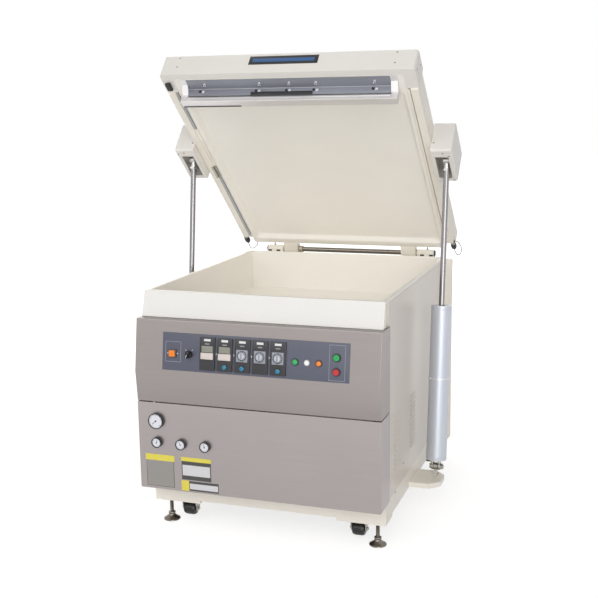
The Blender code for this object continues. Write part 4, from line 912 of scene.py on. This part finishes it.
def rod_pieces(side, pivot, place):
    """A rod with its piston, and the lock nut and eye at its end."""
    node, body = f"piston_rod_{side}", f"rod_{side}"
    away = HINGE + (LID.to_3x3() @ Vector((0, -LID_PIVOT_REACH, LID_PIVOT_RISE))) - pivot
    length = Vector((0, away.y, away.z)).length
    piston, high = BORE_R - 0.0005, TUBE_END - TUBE_CAP - 0.045
    low = high - 0.030
    neck, nut = length - EYE_R * 0.6, length - EYE_R * 2.15
    rod = [(0, low), (piston, low), (piston, high), (ROD_R, high), (ROD_R, neck), (0, neck)]
    put(node + "_skin", turned_mesh(rod, 64), "chrome", body, place, 32, (node,))
    thick, edge, end = 0.010, 0.002, (0, 0, length)
    hexagon = [(0, nut), (ROD_R * 1.45, nut), (ROD_R * 1.45, nut + thick), (0, nut + thick)]
    cone = [(0, nut + thick), (ROD_R * 1.15, nut + thick), (ROD_R * 1.3, neck), (0, neck)]
    eye = [(PIN_R, -EYE_HALF), (EYE_R - edge, -EYE_HALF), (EYE_R, edge - EYE_HALF), (EYE_R, EYE_HALF - edge)]
    eye += [(EYE_R - edge, EYE_HALF), (PIN_R, EYE_HALF)]
    cap = [(0, EYE_HALF), (0.0125, EYE_HALF), (0.0125, EYE_HALF + 0.006), (0, EYE_HALF + 0.006)]
    parts = [turned_mesh(hexagon, 6), turned_mesh(cone, 40), turned_mesh(eye, 48, end, "x")]
    parts.append(disc_mesh(PIN_R + 0.0005, -EYE_HALF - 0.0005, EYE_HALF + 0.0005, end, "x", 32))
    parts.append(turned_mesh(cap, 6, end, "x"))
    put(f"rod_end_{side}", merged(parts), "plated", body, place, 32)


def cylinders():
    for side, sign in SIDES:
        pivot = Vector(JOINTS[f"cylinder_swing_{side}"]["pos_m"])
        along = Vector(JOINTS[f"rod_slide_{side}"]["axis"])
        place = Matrix.Translation(pivot) @ Matrix.Rotation(-math.atan2(along.y, along.z), 4, "X")
        tube_pieces(side, sign, place)
        rod_pieces(side, pivot, place)


# Stage

LAMPS = (
    ("key", (-5.0, -8.4, 5.6), 4.6, 150, (1.0, 0.99, 0.97)),
    ("high", (0.8, -7.6, 7.0), 6.4, 250, (1.0, 1.0, 1.0)),
    ("low", (2.8, -8.3, 0.9), 4.0, 165, (0.97, 0.985, 1.0)),
    ("right", (5.6, -7.6, 3.0), 5.4, 160, (0.97, 0.985, 1.0)),
    ("back", (-2.5, 6.0, 4.6), 8.0, 235, (1.0, 1.0, 1.0)),
)
LAMP_TARGET = Vector((0, -0.1, 0.9))
FLOOR_SIZE, FLOOR_NEAR, FLOOR_FAR = 30, 1.6, 3.4
CAMERA_YAW, CAMERA_PITCH, CAMERA_ROLL = (math.radians(d) for d in (19.0, 10.8, -0.8))
CAMERA_AT = Vector((1.4354, -3.6098 + FRONT, 1.7584))
FOCAL_PIXELS, PICTURE_PIXELS, SENSOR = 1023.5, 598, 36


def shown(tree, *kinds):
    """1 for rays of any of these kinds, else 0."""
    rays = add(tree, "ShaderNodeLightPath")
    value = rays.outputs[kinds[0]]
    for kind in kinds[1:]:
        more = add(tree, "ShaderNodeMath", operation="MAXIMUM")
        link(tree, value, more.inputs[0])
        link(tree, rays.outputs[kind], more.inputs[1])
        value = more.outputs[0]
    return value


def mixed_out(tree, factor, first, second, kind, socket):
    """The tree's output, mixed from two shaders by a factor."""
    mix = add(tree, "ShaderNodeMixShader")
    for source, place in zip((factor, first.outputs[0], second.outputs[0]), mix.inputs):
        link(tree, source, place)
    link(tree, mix.outputs[0], add(tree, kind).inputs[socket])


def backdrop(scene):
    """A soft sky for the light, and plain white where the camera and reflections look."""
    world = bpy.data.worlds.new("studio")
    scene.world = world
    world.use_nodes = True
    tree = world.node_tree
    tree.nodes.clear()
    seen = shown(tree, "Is Camera Ray", "Is Glossy Ray", "Is Transmission Ray")
    soft = add(tree, "ShaderNodeBackground", Color=(1.0, 0.99, 0.975, 1), Strength=0.24)
    plain = add(tree, "ShaderNodeBackground", Color=(1, 1, 1, 1), Strength=1.0)
    mixed_out(tree, seen, soft, plain, "ShaderNodeOutputWorld", "Surface")


def ground(scene):
    """A pale floor that keeps the shadow near the machine and is plain white farther out."""
    mesh = bpy.data.meshes.new("floor")
    bm = bmesh.new()
    bmesh.ops.create_grid(bm, x_segments=1, y_segments=1, size=FLOOR_SIZE)
    bm.to_mesh(mesh)
    bm.free()
    floor = bpy.data.objects.new("floor", mesh)
    scene.collection.objects.link(floor)
    paper = bpy.data.materials.new("paper")
    paper.use_nodes = True
    tree = paper.node_tree
    tree.nodes.clear()
    seen = shown(tree, "Is Camera Ray", "Is Glossy Ray")
    plain = add(tree, "ShaderNodeBsdfDiffuse", Color=(0.92, 0.92, 0.92, 1))
    pale = add(tree, "ShaderNodeBsdfDiffuse", Color=(0.45, 0.45, 0.45, 1))
    lift = add(tree, "ShaderNodeEmission", Color=(1, 1, 1, 1))
    away = add(tree, "ShaderNodeVectorMath", operation="LENGTH")
    link(tree, add(tree, "ShaderNodeTexCoord").outputs["Object"], away.inputs[0])
    glow = spread(tree, away.outputs["Value"], 0.76, 1.0, FLOOR_NEAR, FLOOR_FAR)
    link(tree, glow, lift.inputs["Strength"])
    both = add(tree, "ShaderNodeAddShader")
    link(tree, pale.outputs[0], both.inputs[0])
    link(tree, lift.outputs[0], both.inputs[1])
    mixed_out(tree, seen, plain, both, "ShaderNodeOutputMaterial", "Surface")
    mesh.materials.append(paper)


def studio_lamps(scene):
    for name, place, size, power, colour in LAMPS:
        light = bpy.data.lights.new(name, "AREA")
        light.energy = power
        light.size = size
        light.color = colour
        lamp = bpy.data.objects.new(name, light)
        scene.collection.objects.link(lamp)
        lamp.location = place
        lamp.rotation_mode = "QUATERNION"
        lamp.rotation_quaternion = (LAMP_TARGET - Vector(place)).to_track_quat("-Z", "Y")


def photo_camera(scene):
    """The camera of the photograph, from its fitted place, angles and focal length."""
    yaw, pitch, roll = CAMERA_YAW, CAMERA_PITCH, CAMERA_ROLL
    level = math.cos(pitch)
    forward = Vector((-math.sin(yaw) * level, math.cos(yaw) * level, -math.sin(pitch)))
    flat = Vector((math.cos(yaw), math.sin(yaw), 0))
    over = flat.cross(forward)
    right = flat * math.cos(roll) + over * math.sin(roll)
    up = over * math.cos(roll) - flat * math.sin(roll)
    lens = bpy.data.cameras.new("camera")
    camera = bpy.data.objects.new("camera", lens)
    scene.collection.objects.link(camera)
    lens.sensor_width = SENSOR
    lens.lens = SENSOR * FOCAL_PIXELS / PICTURE_PIXELS
    turn = Matrix((right, up, -forward)).transposed().to_4x4()
    camera.matrix_world = Matrix.Translation(CAMERA_AT) @ turn
    scene.camera = camera


def stage():
    scene = bpy.context.scene
    scene.view_settings.view_transform = "Standard"
    backdrop(scene)
    ground(scene)
    studio_lamps(scene)
    photo_camera(scene)


body_panels()
body_screws()
feet()
wheels()
console()
selector()
push_buttons()
gauges()
plain_plates()
lid()
cylinders()
stage()
